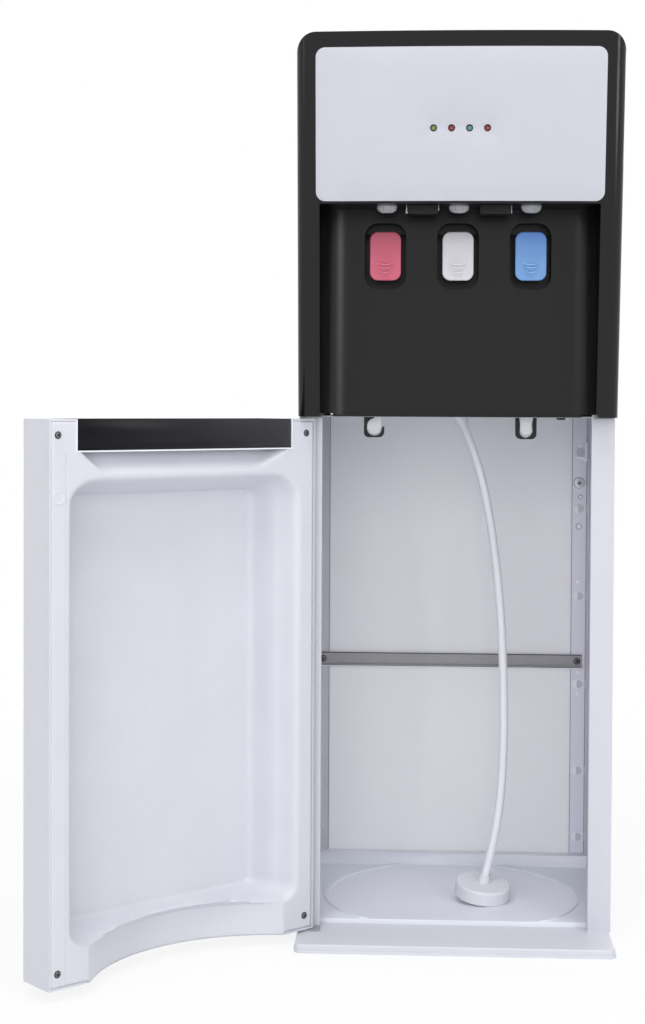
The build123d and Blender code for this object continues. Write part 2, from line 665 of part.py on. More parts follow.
cap_axis = Vector(*CAP_TILT).normalized()
hose_end = route[-1]
hose_aim = (route[-2] - route[-1]).normalized()
cap_centre = hose_end - hose_aim * CAP_STUB - cap_axis * CAP_THICK
with BuildPart() as probe_cap:
    with BuildSketch(Plane(cap_centre, z_dir=cap_axis)):
        Circle(CAP_RADIUS)
    extrude(amount=CAP_THICK)
    fillet(probe_cap.edges().filter_by(GeomType.CIRCLE).sort_by(Axis.Z)[-1], radius=3.0)
    with BuildSketch(Plane(hose_end, z_dir=-hose_aim)):
        Circle(HOSE_DIAMETER / 2 + 2.0)
    extrude(amount=CAP_STUB + 2.0)
write(probe_cap, "probe_cap")
print("cap lowest", round(probe_cap.part.bounding_box().min.Z, 2), "floor", FLOOR_TOP)

# ================================================================ clips under the deck
with BuildPart() as hose_clips:
    for x in CLIP_X:
        clip = (x - CLIP_HALF, x + CLIP_HALF)
        block(clip, (CLIP_Y, CLIP_Y + CLIP_DEPTH), (DECK_HEIGHT - CLIP_DROP, DECK_HEIGHT))
        fillet(hose_clips.edges().filter_by(Axis.Y).filter_by(
            lambda edge: edge.center().Z < DECK_HEIGHT - 1).sort_by(
            lambda edge: abs(edge.center().X - x))[:2], radius=7.0)
        block((x - CLIP_HALF + CLIP_WALL, x + CLIP_HALF - CLIP_WALL),
              (CLIP_Y, CLIP_Y + CLIP_DEPTH),
              (DECK_HEIGHT - CLIP_DROP + CLIP_WALL, DECK_HEIGHT), Mode.SUBTRACT)
write(hose_clips, "hose_clips")

with BuildPart() as clip_plugs:
    for x in CLIP_X:
        plug_radius = CLIP_HALF - CLIP_WALL
        rod((x, CLIP_Y + 2, DECK_HEIGHT - CLIP_DROP + CLIP_WALL + plug_radius), plug_radius,
            CLIP_DEPTH - 2, "y")
        block((x - plug_radius, x + plug_radius), (CLIP_Y + 2, CLIP_Y + CLIP_DEPTH),
              (DECK_HEIGHT - CLIP_DROP + CLIP_WALL + plug_radius, DECK_HEIGHT))
write(clip_plugs, "clip_plugs")

with BuildPart() as door_switch:
    block(SENSOR_X, (SHEET + PANEL_FIT, SENSOR_BACK), (DECK_HEIGHT - 2, DECK_HEIGHT))
write(door_switch, "door_switch")

# ================================================================ door
# the door is drawn closed and swung open about its hinge pins when it is written
inner_y = -DOOR_GAP
door_tall = DOOR_TOP - DOOR_BOTTOM


def door_plan(inset, height):
    """The door in plan: flat inside, bowed outside, grooved to clear the cabinet's corner."""
    edge = -DOOR_GAP - DOOR_EDGE
    groove = [(PIN_X + x, PIN_Y + y) for x, y in HINGE_GROOVE]
    with BuildSketch(Plane.XY.offset(height)) as outline:
        with BuildLine():
            Polyline((-HALF, inner_y), (-HALF, groove[0][1]), *groove[1:],
                     (-HALF, groove[-1][1] - GROOVE_RUN), (-HALF, edge))
            ThreePointArc((-HALF, edge), (0, edge - DOOR_BOW), (HALF, edge))
            Polyline((HALF, edge), (HALF, inner_y), (-HALF, inner_y))
        make_face()
        corners = outline.vertices()
        hinge_corner = corners.sort_by(lambda vertex: vertex.X - vertex.Y)[0]
        fillet(corners.group_by(Axis.Y)[0], radius=DOOR_OUTER_RADIUS)
        fillet(outline.vertices().sort_by_distance(hinge_corner)[0], radius=HINGE_CORNER)
        if inset:
            offset(amount=-inset, kind=Kind.INTERSECTION)
    return outline.sketch


def recess(half, low, high, radius, depth):
    """One rounded section of the bottle recess, seen from the front."""
    with BuildSketch(Plane.XZ.offset(DOOR_GAP + depth)) as section:
        with Locations((RECESS_SHIFT, (low + high) / 2)):
            RectangleRounded(2 * half, high - low, radius)
    return section.sketch


def recess_stage(grow, inset_near, inset_far, near, far):
    """The recess between two depths, its walls moved out by grow."""
    sections = [
        recess(RECESS_HALF - inset + grow, RECESS_LOW + inset * LOW_SHARE - grow,
               RECESS_HIGH - inset * HIGH_SHARE + grow, RECESS_CORNER + grow, depth)
        for inset, depth in ((inset_near, near), (inset_far, far))
    ]
    loft(sections=sections, ruled=True)


tray_outer = (TRAY_SHIFT - TRAY_HALF, TRAY_SHIFT + TRAY_HALF)


def scoop(grow):
    """The finger scoop under the drip tray, bowl-shaped and flat at its foot."""
    top = TRAY_BOTTOM - LINER
    low_x, high_x = tray_outer[0] + SCOOP_FIT, tray_outer[1] - SCOOP_FIT
    foot_low, foot_high = low_x + SCOOP_RUN[0], high_x - SCOOP_RUN[1]
    belly = SCOOP_FOOT + SCOOP_BELLY * (top - SCOOP_FOOT)
    with BuildSketch(Plane.YZ.offset(-HALF)) as side_view:
        with BuildLine():
            Polyline((inner_y + 1, top), (inner_y - SCOOP_DEPTH, top), (inner_y, SCOOP_FOOT),
                     (inner_y + 1, SCOOP_FOOT), close=True)
        make_face()
        if grow:
            offset(amount=grow, kind=Kind.INTERSECTION)
    extrude(side_view.sketch, amount=WIDTH)
    with BuildSketch(Plane.XZ) as face_view:
        with BuildLine():
            Line((low_x, top), (high_x, top))
            ThreePointArc((high_x, top), ((high_x + foot_high) / 2, belly),
                          (foot_high, SCOOP_FOOT))
            Line((foot_high, SCOOP_FOOT), (foot_low, SCOOP_FOOT))
            ThreePointArc((foot_low, SCOOP_FOOT), ((low_x + foot_low) / 2, belly),
                          (low_x, top))
        make_face()
        if grow:
            offset(amount=grow, kind=Kind.INTERSECTION)
    extrude(face_view.sketch, amount=WIDTH, both=True, mode=Mode.INTERSECT)


with BuildPart() as recess_space:
    recess_stage(0.0, 0.0, STEP_IN, -1.0, STEP_DEPTH)
    recess_stage(0.0, STEP_OUT, RECESS_INSET, STEP_DEPTH - 0.1, RECESS_DEPTH)
    rod((0, BOTTLE_Y, 0), NOTCH_RADIUS, RECESS_LOW + 2)

with BuildPart() as recess_body:
    recess_stage(LINER, 0.0, STEP_IN, 0.0, STEP_DEPTH + LINER)
    recess_stage(LINER, STEP_OUT, RECESS_INSET, STEP_DEPTH, RECESS_DEPTH + LINER)

with BuildPart() as scoop_space:
    scoop(0.0)

with BuildPart() as scoop_body:
    scoop(LINER)

with BuildPart() as door_shell:
    extrude(door_plan(0.0, DOOR_BOTTOM), amount=door_tall)
    extrude(door_plan(DOOR_WALL, DOOR_BOTTOM + DOOR_WALL),
            amount=door_tall - 2 * DOOR_WALL, mode=Mode.SUBTRACT)
    block((-HALF + HINGE_RIM, HALF - DOOR_WALL), (inner_y - DOOR_WALL - 1, 1),
          (DOOR_BOTTOM + DOOR_WALL, DOOR_TOP - DOOR_WALL), Mode.SUBTRACT)
    for low in (DOOR_BOTTOM, DOOR_TOP - PIN_LENGTH - 1):
        rod((PIN_X, PIN_Y, low), HINGE_BOSS, PIN_LENGTH + 1)
        block((-HALF + DOOR_WALL / 2, PIN_X), (PIN_Y - 2, PIN_Y + 2),
              (low, low + PIN_LENGTH + 1))
    for low in (DOOR_BOTTOM, DOOR_TOP - PIN_LENGTH):
        rod((PIN_X, PIN_Y, low), PIN_RADIUS + PIN_CLEARANCE, PIN_LENGTH, "z",
            Mode.SUBTRACT)
    rod((0, BOTTLE_Y, 0), NOTCH_RADIUS + LINER, DOOR_BOTTOM + DOOR_WALL, "z",
        Mode.SUBTRACT)
    block(tray_outer, (inner_y - TRAY_DEPTH, inner_y + 1), (TRAY_BOTTOM, DOOR_TOP + 1),
          Mode.SUBTRACT)
write_on_door(door_shell, "door_shell")

with BuildPart() as door_liner:
    block((-HALF + HINGE_RIM + LINER_FIT, HALF - DOOR_WALL - LINER_FIT),
          (inner_y - LINER, inner_y),
          (DOOR_BOTTOM + DOOR_WALL + LINER_FIT, DOOR_TOP - DOOR_WALL - LINER_FIT))
    add(recess_body.part)
    add(scoop_body.part)
    block((-HALF, HALF), (inner_y, inner_y + 2 * LINER), (DOOR_BOTTOM, DOOR_TOP), Mode.SUBTRACT)
    with BuildSketch(Plane.XY.offset(DOOR_BOTTOM)):
        with Locations((0, BOTTLE_Y)):
            Circle(NOTCH_RADIUS + LINER)
            Circle(NOTCH_RADIUS, mode=Mode.SUBTRACT)
        with Locations((0, inner_y - WIDTH / 2)):
            Rectangle(WIDTH, WIDTH, mode=Mode.INTERSECT)
    extrude(amount=RECESS_LOW + 3 + LINER - DOOR_BOTTOM)
    with BuildSketch(Plane.XY.offset(RECESS_LOW + 2)):
        with Locations((0, BOTTLE_Y)):
            Circle(NOTCH_RADIUS + LINER)
        with Locations((0, inner_y - WIDTH / 2)):
            Rectangle(WIDTH, WIDTH, mode=Mode.INTERSECT)
    extrude(amount=LINER + 1)
    add(recess_space.part, mode=Mode.SUBTRACT)
    add(scoop_space.part, mode=Mode.SUBTRACT)
    block((tray_outer[0] - LINER_FIT, tray_outer[1] + LINER_FIT), (inner_y - WIDTH, 1),
          (TRAY_BOTTOM - LINER_FIT, DOOR_TOP + 1), Mode.SUBTRACT)
    for x in DOOR_SCREW_X:
        for height in (DOOR_SCREW_LOW, DOOR_SCREW_HIGH):
            rod((x, inner_y - LINER, height), SCREW_RADIUS + 0.1, LINER, "y", Mode.SUBTRACT)
    rod((PIN_X, PIN_Y, 0), HINGE_BOSS + LINER_FIT, HEIGHT, "z", Mode.SUBTRACT)
    block((HALF - LINER_GROOVE, HALF - LINER_GROOVE + 0.8), (inner_y - 0.5, 1),
          (DOOR_BOTTOM, TRAY_BOTTOM), Mode.SUBTRACT)
write_on_door(door_liner, "door_liner")

with BuildPart() as door_screws:
    for x in DOOR_SCREW_X:
        for height in (DOOR_SCREW_LOW, DOOR_SCREW_HIGH):
            rod((x, inner_y - LINER - 8, height), SCREW_RADIUS, 8 + LINER, "y")
            rod((x, inner_y, height), SCREW_HEAD_RADIUS, SCREW_HEAD / 2, "y")
            block((x - 2, x + 2), (inner_y + 0.4, inner_y + SCREW_HEAD),
                  (height - 0.4, height + 0.4), Mode.SUBTRACT)
            block((x - 0.4, x + 0.4), (inner_y + 0.4, inner_y + SCREW_HEAD),
                  (height - 2, height + 2), Mode.SUBTRACT)
write_on_door(door_screws, "door_screws")

with BuildPart() as door_magnets:
    for height in MAGNET_HEIGHTS:
        rod((HALF - MAGNET_INSET, inner_y - LINER - 3, height), MAGNET_RADIUS, 3, "y")
write_on_door(door_magnets, "door_magnets")

# ================================================================ drip tray
tray_floor = TRAY_BOTTOM + TRAY_WALL
tray_front = inner_y - TRAY_DEPTH
with BuildPart() as tray_housing:
    block(tray_outer, (tray_front, inner_y), (TRAY_BOTTOM, DOOR_TOP))
    fillet(tray_housing.edges().filter_by(Axis.Z).group_by(Axis.Y)[0], radius=2.0)
    block((tray_outer[0] + TRAY_WALL, tray_outer[1] - TRAY_WALL),
          (tray_front + TRAY_WALL, inner_y - TRAY_WALL), (tray_floor, DOOR_TOP + 1),
          Mode.SUBTRACT)
write_on_door(tray_housing, "tray_housing")

tray_x = (tray_outer[0] + TRAY_WALL + TRAY_FIT, tray_outer[1] - TRAY_WALL - TRAY_FIT)
tray_y = (tray_front + TRAY_WALL + TRAY_FIT, inner_y - TRAY_WALL - TRAY_FIT)
grille_low = DOOR_TOP - GRILLE_THICK - 0.5
with BuildPart() as drip_tray:
    block(tray_x, tray_y, (tray_floor, grille_low))
    fillet(drip_tray.edges().filter_by(Axis.Z), radius=4.0)
    block((tray_x[0] + TRAY_SKIN, tray_x[1] - TRAY_SKIN),
          (tray_y[0] + TRAY_SKIN, tray_y[1] - TRAY_SKIN),
          (tray_floor + TRAY_SKIN, grille_low + 1), Mode.SUBTRACT)
write_on_door(drip_tray, "drip_tray")

with BuildPart() as drip_grille:
    block(tray_x, tray_y, (grille_low, grille_low + GRILLE_THICK))
    fillet(drip_grille.edges().filter_by(Axis.Z), radius=4.0)
    slot_pitch = (tray_x[1] - tray_x[0] - 2 * GRILLE_MARGIN) / GRILLE_SLOTS
    with BuildSketch(Plane.XY.offset(grille_low)):
        with Locations((sum(tray_x) / 2, sum(tray_y) / 2)):
            with GridLocations(slot_pitch, 0, GRILLE_SLOTS, 1):
                SlotOverall(tray_y[1] - tray_y[0] - 2 * GRILLE_MARGIN, GRILLE_SLOT_WIDTH,
                            rotation=90)
    extrude(amount=GRILLE_THICK, mode=Mode.SUBTRACT)
write_on_door(drip_grille, "drip_grille")

# ================================================================ hinges on the cabinet
hinge_x = (PIN_X - HINGE_HALF + 5, PIN_X + HINGE_HALF + 5)
with BuildPart() as top_hinge:
    block(hinge_x, (-HINGE_REACH, -PANEL_FIT), (DECK_HEIGHT - HINGE_PLATE, DECK_HEIGHT))
    block(hinge_x, (-PANEL_FIT - HINGE_TAB, -PANEL_FIT),
          (DECK_HEIGHT - HINGE_PLATE, DECK_HEIGHT + 26))
    rod((PIN_X, PIN_Y, 0), PIN_RADIUS, HEIGHT, "z", Mode.SUBTRACT)
write(top_hinge, "top_hinge")

with BuildPart() as bottom_hinge:
    block(hinge_x, (-HINGE_REACH, -PANEL_FIT), (BASE_HEIGHT, BASE_HEIGHT + HINGE_PLATE))
    rod((PIN_X, PIN_Y, 0), PIN_RADIUS, HEIGHT, "z", Mode.SUBTRACT)
write(bottom_hinge, "bottom_hinge")

pin_end = DOOR_BOTTOM + PIN_LENGTH - 1
with BuildPart() as hinge_pins:
    rod((PIN_X, PIN_Y, BASE_HEIGHT), PIN_RADIUS, pin_end - BASE_HEIGHT)
    rod((PIN_X, PIN_Y, DOOR_TOP - PIN_LENGTH + 1), PIN_RADIUS,
        DECK_HEIGHT - DOOR_TOP + PIN_LENGTH - 1)
write(hinge_pins, "hinge_pins")

# ================================================================ water works
with BuildPart() as cold_jacket:
    block((JACKET_X - JACKET_HALF, JACKET_X + JACKET_HALF),
          (JACKET_Y - JACKET_HALF, JACKET_Y + JACKET_HALF), (DECK_TOP, JACKET_TOP))
    fillet(cold_jacket.edges().filter_by(Axis.Z), radius=10.0)
    rod((JACKET_X, JACKET_Y, COLD_LOW), COLD_RADIUS, HEIGHT, "z", Mode.SUBTRACT)
write(cold_jacket, "cold_jacket")

with BuildPart() as cold_tank:
    rod((JACKET_X, JACKET_Y, COLD_LOW), COLD_RADIUS, JACKET_TOP - COLD_LOW)
    rod((JACKET_X, JACKET_Y, COLD_LOW + TANK_WALL), COLD_RADIUS - TANK_WALL,
        JACKET_TOP - COLD_LOW - 2 * TANK_WALL, "z", Mode.SUBTRACT)
    rod((JACKET_X, JACKET_Y, JACKET_TOP - 2 * TANK_WALL), TANK_PORT, 4 * TANK_WALL, "z",
        Mode.SUBTRACT)
write(cold_tank, "cold_tank")

jacket_back = JACKET_Y + JACKET_HALF
with BuildPart() as heat_sink:
    block((JACKET_X - SINK_HALF, JACKET_X + SINK_HALF), (jacket_back, jacket_back + 5),
          (SINK_Z - SINK_HALF, SINK_Z + SINK_HALF))
    for count in range(SINK_FINS):
        fin = JACKET_X - SINK_HALF + count * (2 * SINK_HALF - SINK_FIN) / (SINK_FINS - 1)
        block((fin, fin + SINK_FIN), (jacket_back + 5, jacket_back + SINK_DEPTH),
              (SINK_Z - SINK_HALF, SINK_Z + SINK_HALF))
write(heat_sink, "heat_sink")

fan_front = jacket_back + SINK_DEPTH
with BuildPart() as fan_frame:
    block((JACKET_X - FAN_HALF, JACKET_X + FAN_HALF), (fan_front, fan_front + FAN_DEPTH),
          (SINK_Z - FAN_HALF, SINK_Z + FAN_HALF))
    fillet(fan_frame.edges().filter_by(Axis.Y), radius=4.0)
    rod((JACKET_X, fan_front, SINK_Z), FAN_HALF - 2.5, FAN_DEPTH, "y", Mode.SUBTRACT)
    for turn in range(4):
        with BuildSketch(Plane.XZ.offset(-fan_front - FAN_DEPTH)) as arm:
            with Locations((JACKET_X, SINK_Z)):
                with PolarLocations(FAN_HALF / 2, 1, 45 + 90 * turn):
                    Rectangle(FAN_HALF, 4)
        extrude(arm.sketch, amount=2.5)
    rod((JACKET_X, fan_front + FAN_DEPTH - 4, SINK_Z), FAN_HUB, 4, "y")
    rod((JACKET_X, fan_front + FAN_DEPTH - 16, SINK_Z), FAN_AXLE, 13, "y")
write(fan_frame, "fan_frame")

with BuildPart() as fan_rotor:
    rod((JACKET_X, fan_front + 3, SINK_Z), FAN_HUB, FAN_DEPTH - 8, "y")
    for turn in range(FAN_BLADES):
        angle = 360 / FAN_BLADES * turn
        with BuildSketch(Plane.XZ.offset(-fan_front - 5)) as root_blade:
            with Locations((JACKET_X, SINK_Z)):
                with PolarLocations((FAN_HUB + FAN_TIP) / 2 - 1, 1, angle):
                    Rectangle(FAN_TIP - FAN_HUB + 2, 1.6)
        with BuildSketch(Plane.XZ.offset(-fan_front - FAN_DEPTH + 8)) as tip_blade:
            with Locations((JACKET_X, SINK_Z)):
                with PolarLocations((FAN_HUB + FAN_TIP) / 2 - 1, 1, angle + 22):
                    Rectangle(FAN_TIP - FAN_HUB + 2, 1.6)
        loft(sections=[root_blade.sketch, tip_blade.sketch], ruled=True)
    rod((JACKET_X, fan_front, SINK_Z), FAN_AXLE + SHAFT_CLEARANCE, FAN_DEPTH, "y",
        Mode.SUBTRACT)
write(fan_rotor, "fan_rotor")

with BuildPart() as hot_tank:
    rod((HOT_X, HOT_Y, HOT_LOW), HOT_RADIUS, HOT_HEIGHT)
    fillet(hot_tank.edges().filter_by(GeomType.CIRCLE), radius=TANK_CORNER)
    rod((HOT_X, HOT_Y, HOT_LOW + TANK_WALL), HOT_RADIUS - TANK_WALL,
        HOT_HEIGHT - 2 * TANK_WALL, "z", Mode.SUBTRACT)
    for turn in range(3):
        leg_x = HOT_X + (HOT_RADIUS - 9) * math.cos(math.radians(90 + 120 * turn))
        leg_y = HOT_Y + (HOT_RADIUS - 9) * math.sin(math.radians(90 + 120 * turn))
        rod((leg_x, leg_y, DECK_TOP), 4, HOT_LOW - DECK_TOP + TANK_WALL)
    rod((HOT_X, HOT_Y, HOT_LOW + HOT_HEIGHT - 2 * TANK_WALL), TANK_PORT, 4 * TANK_WALL, "z",
        Mode.SUBTRACT)
write(hot_tank, "hot_tank")

with BuildPart() as water_manifold:
    block((-MANIFOLD_HALF, MANIFOLD_HALF), (MANIFOLD_Y - 25, MANIFOLD_Y + 25),
          (JACKET_TOP, JACKET_TOP + MANIFOLD_HEIGHT))
    fillet(water_manifold.edges().filter_by(Axis.Z), radius=8.0)
    for x in TAP_X:
        rod((x, MANIFOLD_Y - 34, JACKET_TOP + MANIFOLD_HEIGHT - 10), 4.5, 10, "y")
write(water_manifold, "water_manifold")

with BuildPart() as pump:
    rod((GLAND_X - 4, PUMP_Y, DECK_TOP), 18, 4)
    rod((GLAND_X - 4, PUMP_Y, DECK_TOP), 15, 46)
    rod((GLAND_X - 4, PUMP_Y, DECK_TOP + 46), 18, 16)
    rod((GLAND_X - 4, PUMP_Y - 26, DECK_TOP + 54), 4, 10, "y")
write(pump, "pump")


def tube(points, radius, bend):
    """A water tube along straight runs with equal bends."""
    with BuildLine() as line:
        FilletPolyline(*points, radius=bend)
    with BuildSketch(Plane(points[0], z_dir=Vector(*points[1]) - Vector(*points[0]))) as ring:
        Circle(radius)
    sweep(ring.sketch, path=line.line)


nozzle_top = BAY_TOP + CARRIER_HEIGHT + 8
manifold_z = JACKET_TOP + MANIFOLD_HEIGHT - 10
with BuildPart() as water_tubes:
    for x in TAP_X:
        tube(((x, MANIFOLD_Y - 34, manifold_z), (x, NOZZLE_Y, manifold_z),
              (x, NOZZLE_Y, nozzle_top)), TUBE_RADIUS, 10)
    gland_top = DECK_TOP + 8
    tube(((GLAND_X, GLAND_Y, gland_top), (GLAND_X, GLAND_Y, gland_top + 40),
          (GLAND_X - 4, PUMP_Y, gland_top + 90), (GLAND_X - 4, PUMP_Y, DECK_TOP + 62)),
         TUBE_RADIUS, 8)
write(water_tubes, "water_tubes")

# ================================================================ electrics
with BuildPart() as board_bracket:
    block((BOARD_X, BOARD_X + 1.5), BOARD_Y, (DECK_TOP, BOARD_Z[1]))
    block((BOARD_X - 13, BOARD_X), BOARD_Y, (DECK_TOP, DECK_TOP + 1.5))
    for y in (BOARD_Y[0] + 8, BOARD_Y[1] - 8):
        for height in (BOARD_Z[0] + 8, BOARD_Z[1] - 8):
            rod((BOARD_X + 1.5, y, height), 2.5, 6, "x")
write(board_bracket, "board_bracket")

with BuildPart() as control_board:
    face_x = BOARD_X + 7.5
    block((face_x, face_x + BOARD_THICK), BOARD_Y, BOARD_Z)
    top_x = face_x + BOARD_THICK
    block((top_x, top_x + 22), (BOARD_Y[0] + 12, BOARD_Y[0] + 38),
          (BOARD_Z[0] + 14, BOARD_Z[0] + 44))
    block((top_x, top_x + 12), (BOARD_Y[1] - 26, BOARD_Y[1] - 8),
          (BOARD_Z[0] + 14, BOARD_Z[0] + 30))
    for height in (BOARD_Z[1] - 30, BOARD_Z[1] - 14):
        rod((top_x, BOARD_Y[1] - 18, height), 6, 16, "x")
write(control_board, "control_board")

# ================================================================ back of the upper part
cover_back = REAR_Y + REAR_COVER
with BuildPart() as rear_cover:
    block((-back_half, back_half), (REAR_Y, cover_back), (DECK_TOP + 1, SIDE_TOP - PANEL_FIT))
    with BuildSketch(Plane.XZ.offset(-cover_back)):
        with Locations((JACKET_X, SINK_Z)):
            with GridLocations(VENT_PITCH, 0, VENT_COUNT, 1):
                SlotOverall(2 * FAN_HALF - 8, VENT_WIDTH, rotation=90)
        with Locations((-JACKET_X, SINK_Z + 90)):
            with GridLocations(VENT_PITCH, 0, VENT_COUNT - 4, 1):
                SlotOverall(FAN_HALF, VENT_WIDTH, rotation=90)
    extrude(amount=REAR_COVER, mode=Mode.SUBTRACT)
    for x in SWITCH_X:
        block((x - SWITCH_HALF, x + SWITCH_HALF), (REAR_Y - 1, cover_back + 1),
              (SWITCH_Z - SWITCH_TALL, SWITCH_Z + SWITCH_TALL), Mode.SUBTRACT)
    block((INLET_X - 14, INLET_X + 14), (REAR_Y - 1, cover_back + 1),
          (INLET_Z - 10, INLET_Z + 10), Mode.SUBTRACT)
    rod((DRAIN_X, REAR_Y, DRAIN_Z), DRAIN_RADIUS, REAR_COVER, "y", Mode.SUBTRACT)
write(rear_cover, "rear_cover")

with BuildPart() as switch_frames:
    for x in SWITCH_X:
        block((x - SWITCH_HALF - 2, x + SWITCH_HALF + 2), (cover_back, cover_back + 1.5),
              (SWITCH_Z - SWITCH_TALL - 2, SWITCH_Z + SWITCH_TALL + 2))
        block((x - SWITCH_HALF, x + SWITCH_HALF), (REAR_Y - 14, cover_back),
              (SWITCH_Z - SWITCH_TALL, SWITCH_Z + SWITCH_TALL))
        block((x - SWITCH_HALF + 1.5, x + SWITCH_HALF - 1.5), (REAR_Y - 12, cover_back + 2),
              (SWITCH_Z - SWITCH_TALL + 1.5, SWITCH_Z + SWITCH_TALL - 1.5), Mode.SUBTRACT)
        rod((x - SWITCH_HALF, SWITCH_PIVOT_Y, SWITCH_Z), SHAFT_RADIUS, 2 * SWITCH_HALF, "x")
write(switch_frames, "switch_frames")

for x, switch_name in zip(SWITCH_X, ("hot_switch", "cold_switch")):
    with BuildPart() as rocker:
        tilt = math.radians(ROCKER_TILT)
        with BuildSketch(Plane((x - ROCKER_HALF, SWITCH_PIVOT_Y, SWITCH_Z),
                               x_dir=(0, math.cos(tilt), math.sin(tilt)), z_dir=(1, 0, 0))):
            with BuildLine():
                Polyline((-4, -4), (-4, 4), (1.5, ROCKER_TALL), (6, ROCKER_TALL),
                         (4.2, 0), (6, -ROCKER_TALL), (1.5, -ROCKER_TALL), close=True)
            make_face()
        extrude(amount=2 * ROCKER_HALF)
        rod((x - ROCKER_HALF, SWITCH_PIVOT_Y, SWITCH_Z), SHAFT_RADIUS + SHAFT_CLEARANCE,
            2 * ROCKER_HALF, "x", Mode.SUBTRACT)
    write(rocker, switch_name)

with BuildPart() as power_inlet:
    block((INLET_X - 14 + PANEL_FIT, INLET_X + 14 - PANEL_FIT), (REAR_Y - 18, cover_back),
          (INLET_Z - 10 + PANEL_FIT, INLET_Z + 10 - PANEL_FIT))
    block((INLET_X - 20, INLET_X + 20), (cover_back, cover_back + 2),
          (INLET_Z - 13, INLET_Z + 13))
    block((INLET_X - 11.5, INLET_X + 11.5), (REAR_Y - 14, cover_back + 3),
          (INLET_Z - 7.5, INLET_Z + 7.5), Mode.SUBTRACT)
    for x in (INLET_X - 7, INLET_X, INLET_X + 7):
        block((x - 1, x + 1), (REAR_Y - 16, REAR_Y), (INLET_Z - 2, INLET_Z + 2))
write(power_inlet, "power_inlet")

with BuildPart() as drain_fitting:
    rod((DRAIN_X, REAR_Y - 30, DRAIN_Z), DRAIN_RADIUS - PANEL_FIT, 30 + REAR_COVER + 8, "y")
    rod((DRAIN_X, cover_back, DRAIN_Z), DRAIN_RADIUS + 3, 1.5, "y")
    rod((DRAIN_X, REAR_Y - 31, DRAIN_Z), DRAIN_BORE, HEIGHT, "y", Mode.SUBTRACT)
write(drain_fitting, "drain_fitting")

with BuildPart() as drain_plug:
    end = cover_back + 8
    rod((DRAIN_X, end, DRAIN_Z), DRAIN_RADIUS + 1, 7, "y")
    rod((DRAIN_X, end - 12, DRAIN_Z), DRAIN_BORE - 0.08, 12, "y")
    block((DRAIN_X - 1.5, DRAIN_X + 1.5), (end + 7, end + 13), (DRAIN_Z - 7, DRAIN_Z + 7))
write(drain_plug, "drain_plug")
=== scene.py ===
import json
import math

import bmesh
import bpy
from mathutils import Matrix, Vector


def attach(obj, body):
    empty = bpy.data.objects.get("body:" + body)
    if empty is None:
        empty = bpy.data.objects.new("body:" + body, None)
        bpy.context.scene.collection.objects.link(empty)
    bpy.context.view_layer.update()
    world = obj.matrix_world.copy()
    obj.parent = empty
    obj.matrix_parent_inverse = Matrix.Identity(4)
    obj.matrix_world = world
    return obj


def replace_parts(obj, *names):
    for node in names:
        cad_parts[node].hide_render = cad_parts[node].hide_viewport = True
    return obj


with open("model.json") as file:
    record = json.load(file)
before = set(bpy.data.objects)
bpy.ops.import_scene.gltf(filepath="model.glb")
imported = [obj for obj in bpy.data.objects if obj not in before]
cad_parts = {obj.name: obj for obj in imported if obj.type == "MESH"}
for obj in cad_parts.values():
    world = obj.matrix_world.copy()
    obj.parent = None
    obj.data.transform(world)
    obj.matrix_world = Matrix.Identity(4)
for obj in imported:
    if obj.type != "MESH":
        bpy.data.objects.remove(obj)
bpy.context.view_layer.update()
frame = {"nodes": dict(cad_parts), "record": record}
nodes = frame["nodes"]


# ---------------------------------------------------------------- camera
FRAME_HEIGHT = 1024
FOCAL_LENGTH = 1800
SENSOR_WIDTH = 36
EYE = (-0.04709, -1.89171, 0.56208)
YAW, PITCH, ROLL = -2.83, 1.52, 0.29
SHIFT = -59.52


def camera():
    """The photograph's viewpoint: a long lens, a little left of the middle, nearly level."""
    yaw, pitch, roll = math.radians(YAW), math.radians(PITCH), math.radians(ROLL)
    forward = Vector((math.sin(yaw) * math.cos(pitch), math.cos(yaw) * math.cos(pitch),
                      -math.sin(pitch)))
    right = Vector((math.cos(yaw), -math.sin(yaw), 0))
    up = right.cross(forward)
    right, up = (math.cos(roll) * right + math.sin(roll) * up,
                 math.cos(roll) * up - math.sin(roll) * right)
    data = bpy.data.cameras.new("camera")
    data.sensor_width = SENSOR_WIDTH
    data.lens = SENSOR_WIDTH * FOCAL_LENGTH / FRAME_HEIGHT
    data.shift_y = SHIFT / FRAME_HEIGHT
    data.clip_start = 0.05
    eye = bpy.data.objects.new("camera", data)
    eye.matrix_world = Matrix((
        (right.x, up.x, -forward.x, EYE[0]),
        (right.y, up.y, -forward.y, EYE[1]),
        (right.z, up.z, -forward.z, EYE[2]),
        (0, 0, 0, 1)))
    bpy.context.scene.collection.objects.link(eye)
    bpy.context.scene.camera = eye


camera()


# ---------------------------------------------------------------- materials
def linear(*colour):
    """An 8-bit screen colour as linear light."""
    return tuple(c / 255 / 12.92 if c <= 10 else ((c / 255 + 0.055) / 1.055) ** 2.4
                 for c in colour) + (1,)


